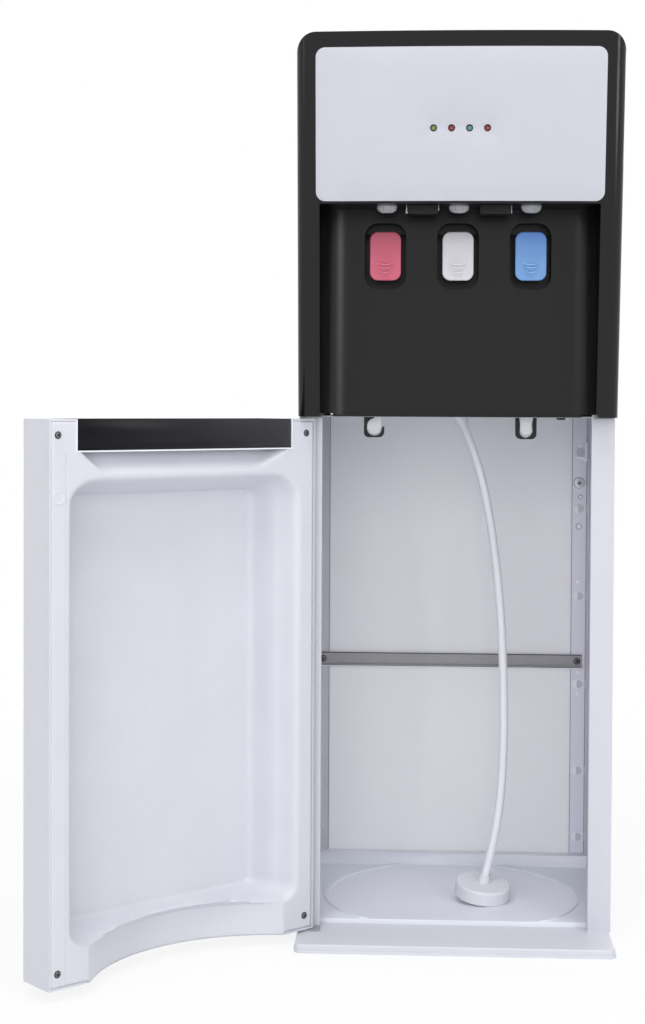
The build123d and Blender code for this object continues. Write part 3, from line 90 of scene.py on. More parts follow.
def plastic(name, colour, rough=0.4, specular=0.5, mottle=0.03, mottle_scale=9.0,
            grain=0.00003, grain_scale=1800.0, coat=0.0, transmission=0.0, metal=0.0,
            stretch=(1, 1, 1)):
    """A moulded or sheet surface: slight colour and gloss variation, and a fine grain."""
    mat = bpy.data.materials.new(name)
    mat.use_nodes = True
    tree = mat.node_tree
    shader = tree.nodes["Principled BSDF"]
    shader.inputs["Metallic"].default_value = metal
    shader.inputs["Specular IOR Level"].default_value = specular
    shader.inputs["Coat Weight"].default_value = coat
    shader.inputs["Coat Roughness"].default_value = 0.06
    shader.inputs["Transmission Weight"].default_value = transmission
    place = tree.nodes.new("ShaderNodeTexCoord")
    scale = tree.nodes.new("ShaderNodeMapping")
    scale.inputs["Scale"].default_value = stretch
    tree.links.new(place.outputs["Object"], scale.inputs["Vector"])

    def noise(size, detail=2.0):
        node = tree.nodes.new("ShaderNodeTexNoise")
        node.inputs["Scale"].default_value = size
        node.inputs["Detail"].default_value = detail
        tree.links.new(scale.outputs["Vector"], node.inputs["Vector"])
        return node.outputs["Fac"]

    broad = noise(mottle_scale, 3.0)
    tint = tree.nodes.new("ShaderNodeMix")
    tint.data_type = "RGBA"
    light = linear(*colour)
    tint.inputs["A"].default_value = tuple(c * (1 - mottle) for c in light[:3]) + (1,)
    tint.inputs["B"].default_value = tuple(min(c * (1 + mottle), 1) for c in light[:3]) + (1,)
    tree.links.new(broad, tint.inputs["Factor"])
    tree.links.new(tint.outputs["Result"], shader.inputs["Base Color"])
    gloss = tree.nodes.new("ShaderNodeMapRange")
    gloss.inputs["To Min"].default_value = max(rough * 0.85, 0.02)
    gloss.inputs["To Max"].default_value = min(rough * 1.15, 1)
    tree.links.new(noise(mottle_scale * 4, 4.0), gloss.inputs["Value"])
    tree.links.new(gloss.outputs["Result"], shader.inputs["Roughness"])
    fine = tree.nodes.new("ShaderNodeBump")
    fine.inputs["Distance"].default_value = grain
    fine.inputs["Strength"].default_value = 0.6
    tree.links.new(noise(grain_scale, 2.0), fine.inputs["Height"])
    tree.links.new(fine.outputs["Normal"], shader.inputs["Normal"])
    return mat


MATERIALS = {
    "white_shell": plastic("white_shell", (207, 208, 216), rough=0.3, grain=0.000004),
    "white_liner": plastic("white_liner", (208, 209, 217), rough=0.33,
                           mottle=0.04, mottle_scale=22),
    "white_sheet": plastic("white_sheet", (199, 199, 208), rough=0.42, grain=0.00006,
                           grain_scale=900),
    "zinc_steel": plastic("zinc_steel", (160, 160, 163), rough=0.5, metal=0.35, mottle=0.3,
                          mottle_scale=520, grain=0.00004, grain_scale=400),
    "black_gloss": plastic("black_gloss", (15, 15, 17), rough=0.1, specular=0.32, mottle=0.1),
    "black_matte": plastic("black_matte", (26, 26, 28), rough=0.5, specular=0.3, mottle=0.1,
                           grain=0.00008, grain_scale=1200),
    "panel_white": plastic("panel_white", (187, 188, 196), rough=0.34, mottle=0.02),
    "hot_red": plastic("hot_red", (206, 92, 118), rough=0.3, mottle=0.05),
    "room_white": plastic("room_white", (220, 220, 230), rough=0.3, mottle=0.03),
    "cold_blue": plastic("cold_blue", (112, 160, 214), rough=0.3, mottle=0.05),
    "light_green": plastic("light_green", (104, 116, 62), rough=0.15, coat=0.6),
    "light_red": plastic("light_red", (128, 34, 48), rough=0.15, coat=0.6),
    "light_teal": plastic("light_teal", (64, 124, 134), rough=0.15, coat=0.6),
    "nozzle_white": plastic("nozzle_white", (176, 178, 182), rough=0.25, transmission=0.2),
    "hose_white": plastic("hose_white", (222, 222, 228), rough=0.3, mottle=0.02, coat=0.1),
    "cap_white": plastic("cap_white", (214, 215, 221), rough=0.25, mottle=0.02),
    "plug_pale": plastic("plug_pale", (198, 199, 203), rough=0.4),
    "bright_steel": plastic("bright_steel", (188, 188, 192), rough=0.24, metal=1.0, mottle=0.05,
                            mottle_scale=300),
    "foam_grey": plastic("foam_grey", (150, 152, 158), rough=0.85, mottle=0.12, mottle_scale=260,
                         grain=0.0006, grain_scale=320),
    "tank_steel": plastic("tank_steel", (190, 190, 194), rough=0.3, metal=1.0, mottle=0.04,
                          stretch=(1, 1, 14)),
    "sink_aluminium": plastic("sink_aluminium", (198, 200, 204), rough=0.36, metal=1.0,
                              stretch=(1, 1, 20), mottle=0.06, mottle_scale=40),
    "board_green": plastic("board_green", (36, 84, 50), rough=0.35, mottle=0.25,
                           mottle_scale=380),
    "tube_clear": plastic("tube_clear", (206, 210, 214), rough=0.2, transmission=0.35),
    "switch_red": plastic("switch_red", (176, 30, 34), rough=0.22),
    "switch_green": plastic("switch_green", (36, 118, 56), rough=0.22),
}

slots = {part["node"]: part["material_slot"] for part in frame["record"]["subparts"]}
OWN = {
    "upper_back_panel": plastic("back_sheet", (240, 240, 244), rough=0.45),
    "lower_back_panel": plastic("back_sheet_low", (242, 243, 246), rough=0.45),
    "floor_pan": plastic("floor_sheet", (226, 229, 238), rough=0.35),
    "dispensing_bay": plastic("bay_black", (11, 11, 14), rough=0.3, specular=0.34, mottle=0.1),
    "paddle_shaft": plastic("shaft_black", (22, 22, 24), rough=0.7, specular=0.1, mottle=0.1),
}
for name, node in nodes.items():
    for place in node.material_slots:
        place.material = OWN.get(name, MATERIALS[slots[name]])


def sweep(mat, axis, low, high, stops):
    """A soft change of painted shade in the base colour along one axis between two places."""
    tree = mat.node_tree
    shader = tree.nodes["Principled BSDF"]
    place = tree.nodes.new("ShaderNodeTexCoord")
    apart = tree.nodes.new("ShaderNodeSeparateXYZ")
    tree.links.new(place.outputs["Object"], apart.inputs[0])
    along = tree.nodes.new("ShaderNodeMapRange")
    along.inputs["From Min"].default_value = low
    along.inputs["From Max"].default_value = high
    tree.links.new(apart.outputs[axis], along.inputs["Value"])
    ramp = tree.nodes.new("ShaderNodeValToRGB")
    for _ in range(len(stops) - 2):
        ramp.color_ramp.elements.new(0.5)
    for stop, (at, shade) in zip(ramp.color_ramp.elements, stops):
        stop.position = at
        stop.color = linear(*shade)
    tree.links.new(along.outputs["Result"], ramp.inputs["Fac"])
    tree.links.new(ramp.outputs["Color"], shader.inputs["Base Color"])


TRAY_ENDS = (-0.352, -0.158)
PADDLE_ENDS = (0.712, 0.7425)
# Painted reflection: the tray's black runs from dark at the free end to lighter near the hinge,
# standing in for the room reflected in its gloss.
tray_painted_reflection = plastic("tray_painted_reflection", (20, 20, 22), rough=0.32, specular=0.14)
sweep(tray_painted_reflection, "X", *TRAY_ENDS,
      [(at, (shade, shade, shade + 4)) for at, shade in ((0.0, 13), (0.5, 36), (1.0, 66))])
nodes["tray_housing"].material_slots[0].material = tray_painted_reflection
# Painted shade: each paddle's colour darkens towards its top, standing in for the shadow of the
# bay above it.
for name, shades in (("hot_paddle", ((198, 94, 116), (180, 82, 103), (156, 68, 88))),
                     ("room_paddle", ((206, 205, 211), (196, 195, 201), (166, 166, 172))),
                     ("cold_paddle", ((112, 155, 208), (98, 141, 200), (76, 118, 184)))):
    shaded_paddle = plastic(name + "_skin", shades[0], rough=0.3)
    sweep(shaded_paddle, "Z", *PADDLE_ENDS, list(zip((0.0, 0.55, 1.0), shades)))
    nodes[name].material_slots[0].material = shaded_paddle


# ---------------------------------------------------------------- edges of the carried pieces
SHARP_ANGLE = 40


def soften(name, width, segments=3):
    """Small rounded edges on a carried piece, as moulding or folding leaves them."""
    node = nodes[name]
    weld = node.modifiers.new("weld", "WELD")
    weld.merge_threshold = 0.000002
    bevel = node.modifiers.new("bevel", "BEVEL")
    bevel.width = width
    bevel.segments = segments
    bevel.limit_method = "ANGLE"
    bevel.angle_limit = math.radians(SHARP_ANGLE)
    bevel.harden_normals = True


for name, node in nodes.items():
    node.data.shade_smooth()
    node.data.set_sharp_from_angle(angle=math.radians(28))


soften("control_panel", 0.0011)
soften("tray_housing", 0.0006, 2)
soften("floor_pan", 0.0012)
for name in ("hot_paddle", "room_paddle", "cold_paddle"):
    soften(name, 0.0009)


# ---------------------------------------------------------------- added pieces
HINGE = (-156.3, -9.8)
DOOR_OPEN = -136.1
LINER_FACE = -2


def mm(x, y, z):
    return Vector((x / 1000, y / 1000, z / 1000))


def on_door(x, y, z):
    """A place on the closed door, carried round to where the door stands open."""
    turn = math.radians(DOOR_OPEN)
    dx, dy = x - HINGE[0], y - HINGE[1]
    return mm(dx * math.cos(turn) - dy * math.sin(turn) + HINGE[0],
              dx * math.sin(turn) + dy * math.cos(turn) + HINGE[1], z)


def off_liner(x, y, z):
    """The same place with its depth counted the other way, so that lower y stands out."""
    return on_door(x, 2 * LINER_FACE - y, z)


def skin(shape, rings, start=True, end=True):
    """Faces between rings of points, closed by a face at either end."""
    rows = [[shape.verts.new(point) for point in ring] for ring in rings]
    count = len(rows[0])
    for near, far in zip(rows, rows[1:]):
        for i in range(count):
            j = (i + 1) % count
            shape.faces.new((near[i], near[j], far[j], far[i]))
    if start:
        shape.faces.new(rows[0])
    if end:
        shape.faces.new(rows[-1])


def slab(shape, x, y, z, place=mm):
    """A box between the low and high values on each axis."""
    skin(shape, [[place(x[i], y[j], height) for i, j in ((0, 0), (1, 0), (1, 1), (0, 1))]
                 for height in z])


def plate(shape, outline, y, place=mm):
    """An upright plate with a drawn outline between two depths."""
    skin(shape, [[place(px, depth, pz) for px, pz in outline] for depth in y])


def turned(shape, x, y, profile, squash=1.0, steps=36):
    """An upright turned form, flattened front to back by squash."""
    skin(shape, [[mm(x + radius * math.cos(a), y + squash * radius * math.sin(a), height)
                  for a in (2 * math.pi * step / steps for step in range(steps))]
                 for radius, height in profile])


def stud(shape, x, z, y, profile, place=mm, steps=28):
    """A round form on an upright face: each radius stands out by the paired height."""
    skin(shape, [[place(x + radius * math.cos(a), y - out, z + radius * math.sin(a))
                  for a in (2 * math.pi * step / steps for step in range(steps))]
                 for radius, out in profile])


def piece(name, draw, body, slot, bevel=0.0, material=None):
    """A drawn piece on one of the bodies."""
    shape = bmesh.new()
    draw(shape)
    bmesh.ops.recalc_face_normals(shape, faces=shape.faces)
    mesh = bpy.data.meshes.new(name)
    shape.to_mesh(mesh)
    shape.free()
    mesh.shade_smooth()
    mesh.set_sharp_from_angle(angle=math.radians(34))
    mesh.materials.append(material or MATERIALS[slot])
    added = bpy.data.objects.new(name, mesh)
    bpy.context.scene.collection.objects.link(added)
    if bevel:
        round_off = added.modifiers.new("bevel", "BEVEL")
        round_off.width = bevel
        round_off.segments = 3
        round_off.limit_method = "ANGLE"
        round_off.angle_limit = math.radians(SHARP_ANGLE)
    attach(added, body)
    return added


TAPS = (-73.7, 0.0, 73.7)
TAP_DEPTH = -38
# Each lever's last colour is a lighter copy of its paddle's: a painted highlight for the ridges.
LEVERS = (("hot", -75.5, "hot_red", (214, 118, 142)),
          ("room", 0.0, "room_white", (226, 226, 234)),
          ("cold", 75.5, "cold_blue", (142, 184, 232)))
HALF_WIDTH = 165
DECK = 549.5
LEAN = 50 / 385.2
FASCIA_FOOT = (-32, 550)
FASCIA_BOW = 5
PANEL_STANDS_OUT = 1.2
LIGHTS = (-27.0, -9.0, 9.0, 27.0)
LIGHT_HEIGHT = 840.1


def panel_front(x, z):
    """Depth of the control panel's bowed, leaning face."""
    depth, low = FASCIA_FOOT
    return (depth - LEAN * (z - low) - FASCIA_BOW * (1 - (x / HALF_WIDTH) ** 2)
            - PANEL_STANDS_OUT)


# ---------------------------------------------------------------- nozzles and carrier
def draw_nozzles(shape):
    for x in TAPS:
        turned(shape, x, TAP_DEPTH, ((3.2, 760.6), (5.6, 760.4), (6.8, 761.0), (7.1, 762.4),
                                     (7.0, 789.5)))
        turned(shape, x, TAP_DEPTH,
               ((3.0, 758.9), (5.4, 759.1), (8.0, 760.4), (9.9, 762.6), (10.5, 765.0),
                (10.5, 766.2), (9.9, 766.7), (6.0, 766.8)), 0.6)


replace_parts(piece("nozzle_set", draw_nozzles, "cabinet", "nozzle_white"), "nozzles")


def draw_carrier(shape):
    slab(shape, (-95.7, 95.7), (-50, -26), (768, 782))
    for x in (-36.85, 36.85):
        slab(shape, (x - 15.5, x + 15.5), (-47, -29), (757.2, 768.4))


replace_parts(piece("carrier_block", draw_carrier, "cabinet", "black_matte", 0.0009),
            "nozzle_carrier")


# Pale wedges at the sides of the carrier's boxes: painted glints of light.
def draw_nozzle_glints(shape):
    for x, width, low in ((-53.6, 1.9, 757.8), (-20.9, 0.9, 760.5), (53.2, 0.9, 758.0)):
        skin(shape, [[mm(x - width / 2, -46, low), mm(x + width / 2, -46, low),
                      mm(x + width / 2, -45, low), mm(x - width / 2, -45, low)],
                     [mm(x - 0.3, -46, 766), mm(x + 0.2, -46, 766),
                      mm(x + 0.2, -45, 766), mm(x - 0.3, -45, 766)]])


piece("nozzle_glints", draw_nozzle_glints, "cabinet", "nozzle_white")


# ---------------------------------------------------------------- lights' dark rims
def draw_rims(shape):
    up = Vector((0, -LEAN, 1)).normalized()
    out = Vector((0, -1, -LEAN)).normalized()
    for x in LIGHTS:
        centre = Vector((x, panel_front(x, LIGHT_HEIGHT), LIGHT_HEIGHT))
        rings = []
        for tube in range(8):
            b = 2 * math.pi * tube / 8
            reach, rise = 3.15 + 0.45 * math.cos(b), 0.35 * math.sin(b)
            rings.append([(centre + reach * (math.cos(a) * Vector((1, 0, 0)) + math.sin(a) * up)
                           + rise * out) / 1000
                          for a in (2 * math.pi * step / 32 for step in range(32))])
        skin(shape, rings + rings[:1], False, False)


piece("light_rims", draw_rims, "cabinet", "black_matte")


# ---------------------------------------------------------------- paddle ridges
def draw_ridges(shape, middle):
    for half, sag, height in ((9.2, 2.5, 710.4), (6.4, 2.1, 706.7), (5.2, 2.1, 701.6)):
        rings = []
        for step in range(17):
            u = step / 8 - 1
            taper = 0.62 * math.sqrt(max(1 - u ** 4, 0.02))
            centre = (middle + half * u, -16.0, height - sag * (1 - u * u))
            rings.append([mm(centre[0], centre[1] - taper * math.cos(b) * 0.8,
                             centre[2] + taper * math.sin(b))
                          for b in (2 * math.pi * side / 8 for side in range(8))])
        skin(shape, rings)


# The ridges take the lighter colour: painted highlight along the arcs.
for lever, middle, slot, ridge_highlight_tone in LEVERS:
    piece(f"{lever}_ridges", lambda shape: draw_ridges(shape, middle), f"{lever}_lever", slot,
          material=plastic(f"{lever}_ridge", ridge_highlight_tone, rough=0.3))


# ---------------------------------------------------------------- clips under the deck
def draw_clips(shape):
    def arc(cx, cz, radius, first, last, steps=8):
        return [(cx + radius * math.cos(math.radians(first + (last - first) * i / steps)),
                 cz + radius * math.sin(math.radians(first + (last - first) * i / steps)))
                for i in range(steps + 1)]
    left = ([(-97.2, DECK)] + arc(-92.2, 533.2, 5.2, 180, 270) + arc(-81.2, 533.4, 5.2, 270, 360)
            + [(-76.0, 540.0), (-78.2, 538.6)] + arc(-86.4, 537.6, 7.9, -2, -180, 14)
            + arc(-86.8, 540.6, 7.2, 180, 100, 6) + [(-86.0, DECK)])
    right = ([(62.0, DECK)] + arc(67.6, 532.4, 5.5, 180, 270) + arc(78.4, 532.4, 5.5, 270, 360)
             + [(84.0, DECK), (80.6, DECK), (79.2, 543.0)] + arc(73.0, 535.4, 6.9, 20, -200, 16)
             + [(66.6, 543.0), (65.6, DECK)])
    for outline in (left, right):
        plate(shape, outline, (6, 17.5))


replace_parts(piece("clip_frames", draw_clips, "cabinet", "black_matte", 0.0004), "hose_clips")


# ---------------------------------------------------------------- screws
def screws(name, places, y, body, place=mm, radius=3.1):
    """Recessed cross screws with a dark rim; the rim and the cross are painted shade, black rings
    and bars laid on the head.
    """
    def heads(shape):
        for x, z in places:
            stud(shape, x, z, y, ((radius, -0.6), (radius, 0.5), (radius - 0.7, 0.9)), place)

    def shade_marks(shape):
        for x, z in places:
            stud(shape, x, z, y, ((radius + 0.9, -0.4), (radius + 0.9, 0.25),
                                  (radius + 0.1, 0.4)), place)
            for dx, dz in ((1, 1), (1, -1)):
                wide = 0.45 / math.sqrt(2)
                far = radius * 0.62 / math.sqrt(2)
                corners = ((-far * dx - wide * dz, -far * dz + wide * dx),
                           (far * dx - wide * dz, far * dz + wide * dx),
                           (far * dx + wide * dz, far * dz - wide * dx),
                           (-far * dx + wide * dz, -far * dz - wide * dx))
                plate(shape, [(x + a, z + b) for a, b in corners], (y - 0.2, y - 1.05), place)
    steel = plastic(name + "_steel", (112, 112, 112), rough=0.4, metal=0.6, mottle=0.1)
    heads_piece = piece(name + "_heads", heads, body, "bright_steel", material=steel)
    piece(name + "_marks", shade_marks, body, "black_matte")
    return heads_piece


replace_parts(screws("bar_screw", ((151, 258.5), (-151, 258.5)), 255.5, "cabinet"),
            "crossbar_screws")
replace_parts(screws("door_screw", [(x, z) for x in (-148.5, 155.5) for z in (26.7, 532.5)],
                   LINER_FACE, "door", off_liner, 2.7), "door_screws")


# ---------------------------------------------------------------- rear flange and bar
FLANGE_FACE = 258.1
FLANGE_HEIGHTS = (28.5, 548.5)
TONGUES = (440, 336, 231, 127.5, 48)
BAR_ENDS = (-156.5, 156.5)


def tongue(shape, x, z, reach, tall, out):
    """A pressed tongue, rounded and proud at its left end and sinking to the right."""
    def ring(inset, lift):
        points = []
        for step in range(13):
            a = math.radians(90 + 15 * step)
            points.append((x + (tall - inset) * math.cos(a), z + (tall - inset) * math.sin(a)))
        points = [(x + reach, z + tall - inset)] + points + [(x + reach, z - tall + inset)]
        return [mm(px, FLANGE_FACE - lift * max(0.04, 1 - (px - x + tall) / (reach + tall)), pz)
                for px, pz in points]
    skin(shape, [ring(0, 0.2), ring(0.35, out), ring(1.3, out)], False)


def draw_forms(shape):
    for z in TONGUES:
        tongue(shape, 151.5, z, 10.5, 5.3, 3.6)
    stud(shape, 152.6, 470.7, FLANGE_FACE, ((6.3, 0.0), (5.7, 1.6), (4.4, 2.3), (1.5, 2.5)))
    for x, z, wide in ((154, 454, 2.2), (152.4, 419, 3.2), (151.6, 353, 2.2), (152, 245, 2.4),
                       (152.5, 219, 2.6), (153, 515, 2.2), (153, 507, 2.2)):
        stud(shape, x, z, FLANGE_FACE, ((wide, 0.0), (wide * 0.8, 1.2), (wide * 0.4, 1.6)))
    plate(shape, ((147.5, 500.5), (161.5, 496.5), (161.5, 518.5), (159.2, 518.5),
                  (159.2, 501.4), (147.5, 502.6)), (FLANGE_FACE, 255.6))


def draw_strip(shape):
    slab(shape, (144.4, 160.6), (257.4, 258.2), FLANGE_HEIGHTS)


# Thin grey strips along the flange strip's edges, the left post's edge and under the deck's right
# corner: painted shade where the sheet steps.
def draw_shade_lines(shape):
    for x in (143.6, 160.6):
        slab(shape, (x, x + 0.9), (257.7, 258.2), FLANGE_HEIGHTS)
    slab(shape, (-144.4, -143.6), (257.7, 258.2), FLANGE_HEIGHTS)
    slab(shape, (143.0, 163.0), (-0.6, 0.2), (548.6, 549.4))


def draw_form_shadows(shape):
    """Painted shadow: shallow grey rims behind the tongues and the larger studs."""
    for z in TONGUES:
        tongue(shape, 151.3, z + 0.5, 9.0, 6.2, 0.5)
    for x, z, wide in ((152.3, 470.9, 6.9), (152.2, 419, 3.9), (153.6, 454, 2.9)):
        stud(shape, x, z, FLANGE_FACE, ((wide, 0.8), (wide - 1, 0.9)))


# Grey copies of the forms set behind them: painted shadow.
piece("form_shadows", draw_form_shadows, "cabinet", "white_sheet",
      material=plastic("form_shade", (168, 167, 178), rough=0.5))
flange = plastic("flange_white", (226, 224, 236), rough=0.4)
piece("flange_strip", draw_strip, "cabinet", "white_sheet", material=flange)
# The pressed forms take a lighter copy of the flange's white: painted highlight on their proud
# faces.
piece("flange_forms", draw_forms, "cabinet", "white_sheet", 0.0003,
      material=plastic("flange_form_lit_white", (244, 243, 250), rough=0.3))
piece("flange_shade_lines", draw_shade_lines, "cabinet", "white_sheet",
      material=plastic("shade_line_grey", (142, 142, 150), rough=0.5))


# Dark strips along the bar's lower and upper edges: painted shadow.
def draw_bar_shadow_strips(shape):
    slab(shape, BAR_ENDS, (254.9, 257.5), (250.4, 252.1))
    slab(shape, BAR_ENDS, (255.3, 257.5), (265.2, 266.0))


# A bright strip under the bar: a painted highlight along its lower edge.
def draw_bar_glint(shape):
    slab(shape, BAR_ENDS, (256.4, 257.9), (248.9, 250.2))


piece("bar_glint", draw_bar_glint, "cabinet", "white_sheet",
      material=plastic("glint_white", (250, 250, 252), rough=0.3))
piece("bar_shadow_strips", draw_bar_shadow_strips, "cabinet", "zinc_steel",
      material=plastic("bar_painted_shadow", (52, 52, 54), rough=0.5, mottle=0.2, mottle_scale=300))


# ---------------------------------------------------------------- door liner
RECESS_MIDDLE, RECESS_HALF = 1.6, 140
RECESS_LOW, RECESS_HIGH, RECESS_CORNER = 44, 490, 34
RISE_BELOW, RISE_ABOVE = 0.57, 0.73
WALL = ((-999, 0), (0, 0), (9, 23), (13, 25.5), (22, 54), (999, 54))
WALL_BLUR = (-2.6, -1.3, 0, 1.3, 2.6)
NOTCH_RADIUS, NOTCH_BACK, NOTCH_FADE = 170, 119, 1.6
SCOOP_LEFT, SCOOP_RIGHT = (-123.8, -66.8), (94.2, 130.2)
SCOOP_LOW, SCOOP_TALL, SCOOP_DEEP = 494, 22.2, 20
SCOOP_CURVE, SCOOP_STEEP = 1.47, 2.4
RECESS_BLEND, SCOOP_BLEND = 7, 1.5
GROOVE_ENDS, GROOVE_DEEP = (146.0, 147.0), 0.6
LINER_ENDS, LINER_COLUMNS = (-158.2, 162.5), 128
LINER_HEIGHTS, LINER_ROWS = (13.8, 545.0), 212
TRAY_LEFT, TRAY_RIGHT, TRAY_LOW = -128.1, 134.5, 517.7
FOOT_HALF, FOOT_LOW = 121.3, 11.4
LINER_THICK = 0.0012


def soft_max(a, b, blend):
    """The larger of two depths, with a rounded change where they meet."""
    near = max(blend - abs(a - b), 0) / blend
    return max(a, b) + near * near * blend / 4


def wall_depth(inside):
    """Depth of the recess's stepped wall by the distance inside its rim."""
    for (near, low), (far, high) in zip(WALL, WALL[1:]):
        if inside <= far:
            return low + (high - low) * (inside - near) / (far - near)


def recess_depth(x, z):
    """The deep recess, with its corners rounded and its wall softened."""
    side = RECESS_HALF - abs(x - RECESS_MIDDLE)
    rise = min((z - RECESS_LOW) / RISE_BELOW, (RECESS_HIGH - z) / RISE_ABOVE)
    if side < RECESS_CORNER and rise < RECESS_CORNER:
        inside = RECESS_CORNER - math.hypot(RECESS_CORNER - side, RECESS_CORNER - rise)
    else:
        inside = min(side, rise)
    return sum(wall_depth(inside + shift) for shift in WALL_BLUR) / len(WALL_BLUR)


def notch_depth(x, z):
    """The hollow that clears the bottle's round side at the door's foot."""
    return (math.sqrt(max(NOTCH_RADIUS ** 2 - x * x, 0)) - NOTCH_BACK
            - NOTCH_FADE * max(z - RECESS_LOW, 0))


def scoop_depth(x, z):
    """The finger scoop under the tray, with curved sides."""
    (left, left_foot), (right_foot, right) = SCOOP_LEFT, SCOOP_RIGHT
    if not (left < x < right and z < SCOOP_LOW + SCOOP_TALL + 0.1):
        return 0
    beside = max((left_foot - x) / (left_foot - left), (x - right_foot) / (right - right_foot), 0)
    over = z - SCOOP_LOW - SCOOP_TALL * beside ** SCOOP_CURVE
    return max(min(SCOOP_DEEP * (z - SCOOP_LOW) / SCOOP_TALL, SCOOP_STEEP * over), 0)


def liner_depth(x, z):
    """Depth of the liner behind its flat face, with what the rounding adds taken off."""
    depth = soft_max(recess_depth(x, z), max(notch_depth(x, z), 0), RECESS_BLEND)
    depth = soft_max(depth, scoop_depth(x, z), SCOOP_BLEND) - SCOOP_BLEND / 4 - RECESS_BLEND / 4
    groove = GROOVE_DEEP if GROOVE_ENDS[0] < x < GROOVE_ENDS[1] and z < TRAY_LOW - 0.7 else 0
    return max(depth, 0) + groove


def door_liner():
    """The moulded inner face, one sheet with a stepped recess, a scoop and a notch."""
    def even(ends, count):
        return [ends[0] + (ends[1] - ends[0]) * i / count for i in range(count + 1)]

    columns = sorted(even(LINER_ENDS, LINER_COLUMNS)
                     + [TRAY_LEFT, TRAY_RIGHT, -FOOT_HALF, FOOT_HALF]
                     + [GROOVE_ENDS[0] - 0.3, GROOVE_ENDS[0] + 0.1,
                        GROOVE_ENDS[1] - 0.1, GROOVE_ENDS[1] + 0.3])
    rows = sorted(even(LINER_HEIGHTS, LINER_ROWS)
                  + [FOOT_LOW, RECESS_LOW, RECESS_LOW + 2, SCOOP_LOW, 516.25, 516.4, TRAY_LOW])
    shape = bmesh.new()
    grid = [[shape.verts.new(on_door(x, LINER_FACE - liner_depth(x, z), z)) for z in rows]
            for x in columns]
    for i, (west, east) in enumerate(zip(columns, columns[1:])):
        for j, (low, high) in enumerate(zip(rows, rows[1:])):
            in_tray = (west > TRAY_LEFT - 0.1 and east < TRAY_RIGHT + 0.1
                       and low > TRAY_LOW - 0.1)
            below = low < LINER_HEIGHTS[0] - 0.1 and not (
                west > -FOOT_HALF - 0.1 and east < FOOT_HALF + 0.1)
            if not in_tray and not below:
                shape.faces.new((grid[i][j], grid[i][j + 1], grid[i + 1][j + 1],
                                 grid[i + 1][j]))
    loose = [vert for vert in shape.verts if not vert.link_faces]
    bmesh.ops.delete(shape, geom=loose, context="VERTS")
    mesh = bpy.data.meshes.new("liner_sheet")
    shape.to_mesh(mesh)
    shape.free()
    mesh.shade_smooth()
    mesh.set_sharp_from_angle(angle=math.radians(50))
    mesh.materials.append(MATERIALS["white_liner"])
    liner = bpy.data.objects.new("liner_sheet", mesh)
    bpy.context.scene.collection.objects.link(liner)
    thick = liner.modifiers.new("thick", "SOLIDIFY")
    thick.thickness = LINER_THICK
    thick.offset = -1
    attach(liner, "door")
    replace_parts(liner, "door_liner")


door_liner()


# ---------------------------------------------------------------- door details
# The lip is a lighter copy of the liner's white: painted highlight along the rim round the tray.
def draw_lip(shape):
    depth = (LINER_FACE - 0.8, LINER_FACE + 0.9)
    slab(shape, (-129.2, 135.6), depth, (516.3, 517.6), on_door)
    for ends in ((-129.2, -128.0), (134.4, 135.6)):
        slab(shape, ends, depth, (517.6, 547.2), on_door)


piece("tray_lip", draw_lip, "door", "white_liner",
      material=plastic("lip_highlight_white", (238, 238, 244), rough=0.25))


def draw_bumps(shape):
    stud(shape, 154.3, 474, LINER_FACE, ((7.2, -0.2), (7.2, 0.25), (6.4, 0.7), (5.0, 0.35),
                                         (2.0, 0.45)), off_liner, 40)
    stud(shape, 155, 78, LINER_FACE, ((4.6, -0.2), (4.4, 0.3), (3.6, 0.1)), off_liner, 32)


piece("liner_bumps", draw_bumps, "door", "white_liner")


# ---------------------------------------------------------------- suction hose
HOSE_DIAMETER = 0.0095
HOSE = ((0.0105, 0.1300, 0.5410), (0.0240, 0.1285, 0.5100), (0.0405, 0.1250, 0.4440),
        (0.0525, 0.1170, 0.3500), (0.0575, 0.1100, 0.2480), (0.0568, 0.1035, 0.1600),
        (0.0500, 0.0985, 0.0910), (0.0375, 0.0960, 0.0424))


def hose():
    """The silicone hose that hangs from the boot under the deck to the bottle cap."""
    curve = bpy.data.curves.new("hose_line", "CURVE")
    curve.dimensions = "3D"
    curve.bevel_depth = HOSE_DIAMETER / 2
    curve.bevel_resolution = 6
    curve.resolution_u = 16
    curve.use_fill_caps = True
    spline = curve.splines.new("NURBS")
    spline.points.add(len(HOSE) - 1)
    for point, at in zip(spline.points, HOSE):
        point.co = (*at, 1)
    spline.order_u = 3
    spline.use_endpoint_u = True
    run = bpy.data.objects.new("hose_run", curve)
    bpy.context.scene.collection.objects.link(run)
    curve.materials.append(MATERIALS["hose_white"])
    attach(run, "cabinet")
    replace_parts(run, "suction_hose")


hose()


# ---------------------------------------------------------------- studio
WORLD_FILL = 0.42
FLOOR_REACH = 12.0


def seen_rays(tree):
    """1 for camera, glossy and transmission rays, which see the white background."""
    path = tree.nodes.new("ShaderNodeLightPath")
    seen = path.outputs["Is Camera Ray"]
    for kind in ("Is Glossy Ray", "Is Transmission Ray"):
        either = tree.nodes.new("ShaderNodeMath")
        either.operation = "MAXIMUM"
        tree.links.new(seen, either.inputs[0])
        tree.links.new(path.outputs[kind], either.inputs[1])
        seen = either.outputs[0]
    return seen


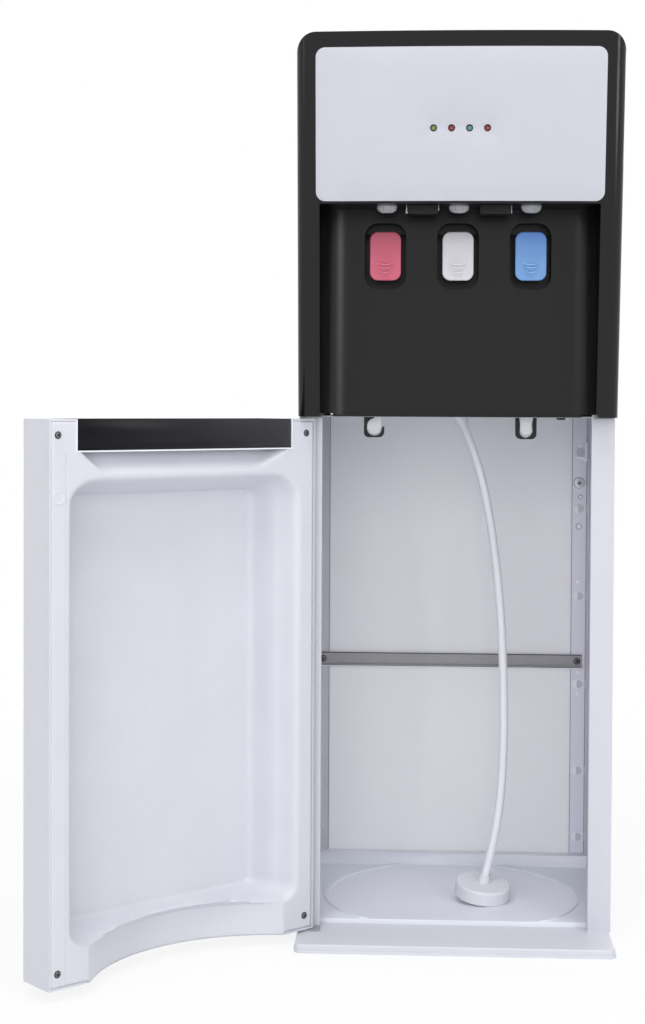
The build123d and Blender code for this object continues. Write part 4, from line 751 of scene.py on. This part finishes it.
def studio():
    """A pale floor that keeps the object's shadow, a white surround and soft lamps."""
    world = bpy.data.worlds.new("studio")
    bpy.context.scene.world = world
    world.use_nodes = True
    tree = world.node_tree
    tree.nodes.clear()
    out = tree.nodes.new("ShaderNodeOutputWorld")
    seen = tree.nodes.new("ShaderNodeBackground")
    seen.inputs["Color"].default_value = (1, 1, 1, 1)
    seen.inputs["Strength"].default_value = 1.0
    fill = tree.nodes.new("ShaderNodeBackground")
    fill.inputs["Color"].default_value = (1, 1, 1, 1)
    fill.inputs["Strength"].default_value = WORLD_FILL
    sight = seen_rays(tree)
    mix = tree.nodes.new("ShaderNodeMixShader")
    tree.links.new(sight, mix.inputs["Fac"])
    tree.links.new(fill.outputs[0], mix.inputs[1])
    tree.links.new(seen.outputs[0], mix.inputs[2])
    tree.links.new(mix.outputs[0], out.inputs["Surface"])

    ground = bpy.data.meshes.new("ground")
    ground.from_pydata([(x * FLOOR_REACH, y * FLOOR_REACH, 0)
                        for x, y in ((-1, -1), (1, -1), (1, 1), (-1, 1))], [], [(0, 1, 2, 3)])
    floor = bpy.data.objects.new("ground", ground)
    bpy.context.scene.collection.objects.link(floor)
    mat = bpy.data.materials.new("ground")
    mat.use_nodes = True
    tree = mat.node_tree
    tree.nodes.clear()
    out = tree.nodes.new("ShaderNodeOutputMaterial")
    pale = tree.nodes.new("ShaderNodeBsdfDiffuse")
    pale.inputs["Color"].default_value = (0.85, 0.86, 0.88, 1)
    glow = tree.nodes.new("ShaderNodeEmission")
    glow.inputs["Strength"].default_value = 1.0
    sight = seen_rays(tree)
    place = tree.nodes.new("ShaderNodeTexCoord")
    away = tree.nodes.new("ShaderNodeVectorMath")
    away.operation = "LENGTH"
    tree.links.new(place.outputs["Object"], away.inputs[0])
    fade = tree.nodes.new("ShaderNodeMapRange")
    fade.interpolation_type = "SMOOTHSTEP"
    fade.inputs["From Min"].default_value = 0.5
    fade.inputs["From Max"].default_value = 1.6
    fade.inputs["To Min"].default_value = 0.86
    fade.inputs["To Max"].default_value = 1.0
    tree.links.new(away.outputs["Value"], fade.inputs["Value"])
    share = tree.nodes.new("ShaderNodeMath")
    share.operation = "MULTIPLY"
    tree.links.new(sight, share.inputs[0])
    tree.links.new(fade.outputs["Result"], share.inputs[1])
    mix = tree.nodes.new("ShaderNodeMixShader")
    tree.links.new(share.outputs[0], mix.inputs["Fac"])
    tree.links.new(pale.outputs[0], mix.inputs[1])
    tree.links.new(glow.outputs[0], mix.inputs[2])
    tree.links.new(mix.outputs[0], out.inputs["Surface"])
    ground.materials.append(mat)

    def lamp(name, at, aim, size, watts, mirrored=True):
        data = bpy.data.lights.new(name, "AREA")
        data.shape = "RECTANGLE"
        data.size, data.size_y = size
        data.energy = watts
        light = bpy.data.objects.new(name, data)
        light.location = at
        light.rotation_euler = (Vector(aim) - Vector(at)).to_track_quat("-Z", "Y").to_euler()
        light.visible_glossy = mirrored
        bpy.context.scene.collection.objects.link(light)

    lamp("front", (-0.7, -3.3, 1.1), (0, 0.1, 0.4), (2.0, 2.0), 37, False)
    lamp("front_right", (2.0, -2.3, 1.3), (-0.1, 0, 0.35), (1.0, 1.6), 19)
    lamp("front_left", (-2.4, -2.2, 1.5), (-0.2, 0, 0.4), (1.0, 1.6), 5)
    lamp("overhead", (0, -0.6, 2.6), (0, 0, 0.3), (2.2, 2.2), 44)
    lamp("behind", (0.4, 2.6, 1.9), (0, 0, 0.5), (2.0, 1.6), 16)


studio()
bpy.context.scene.view_settings.view_transform = "Standard"
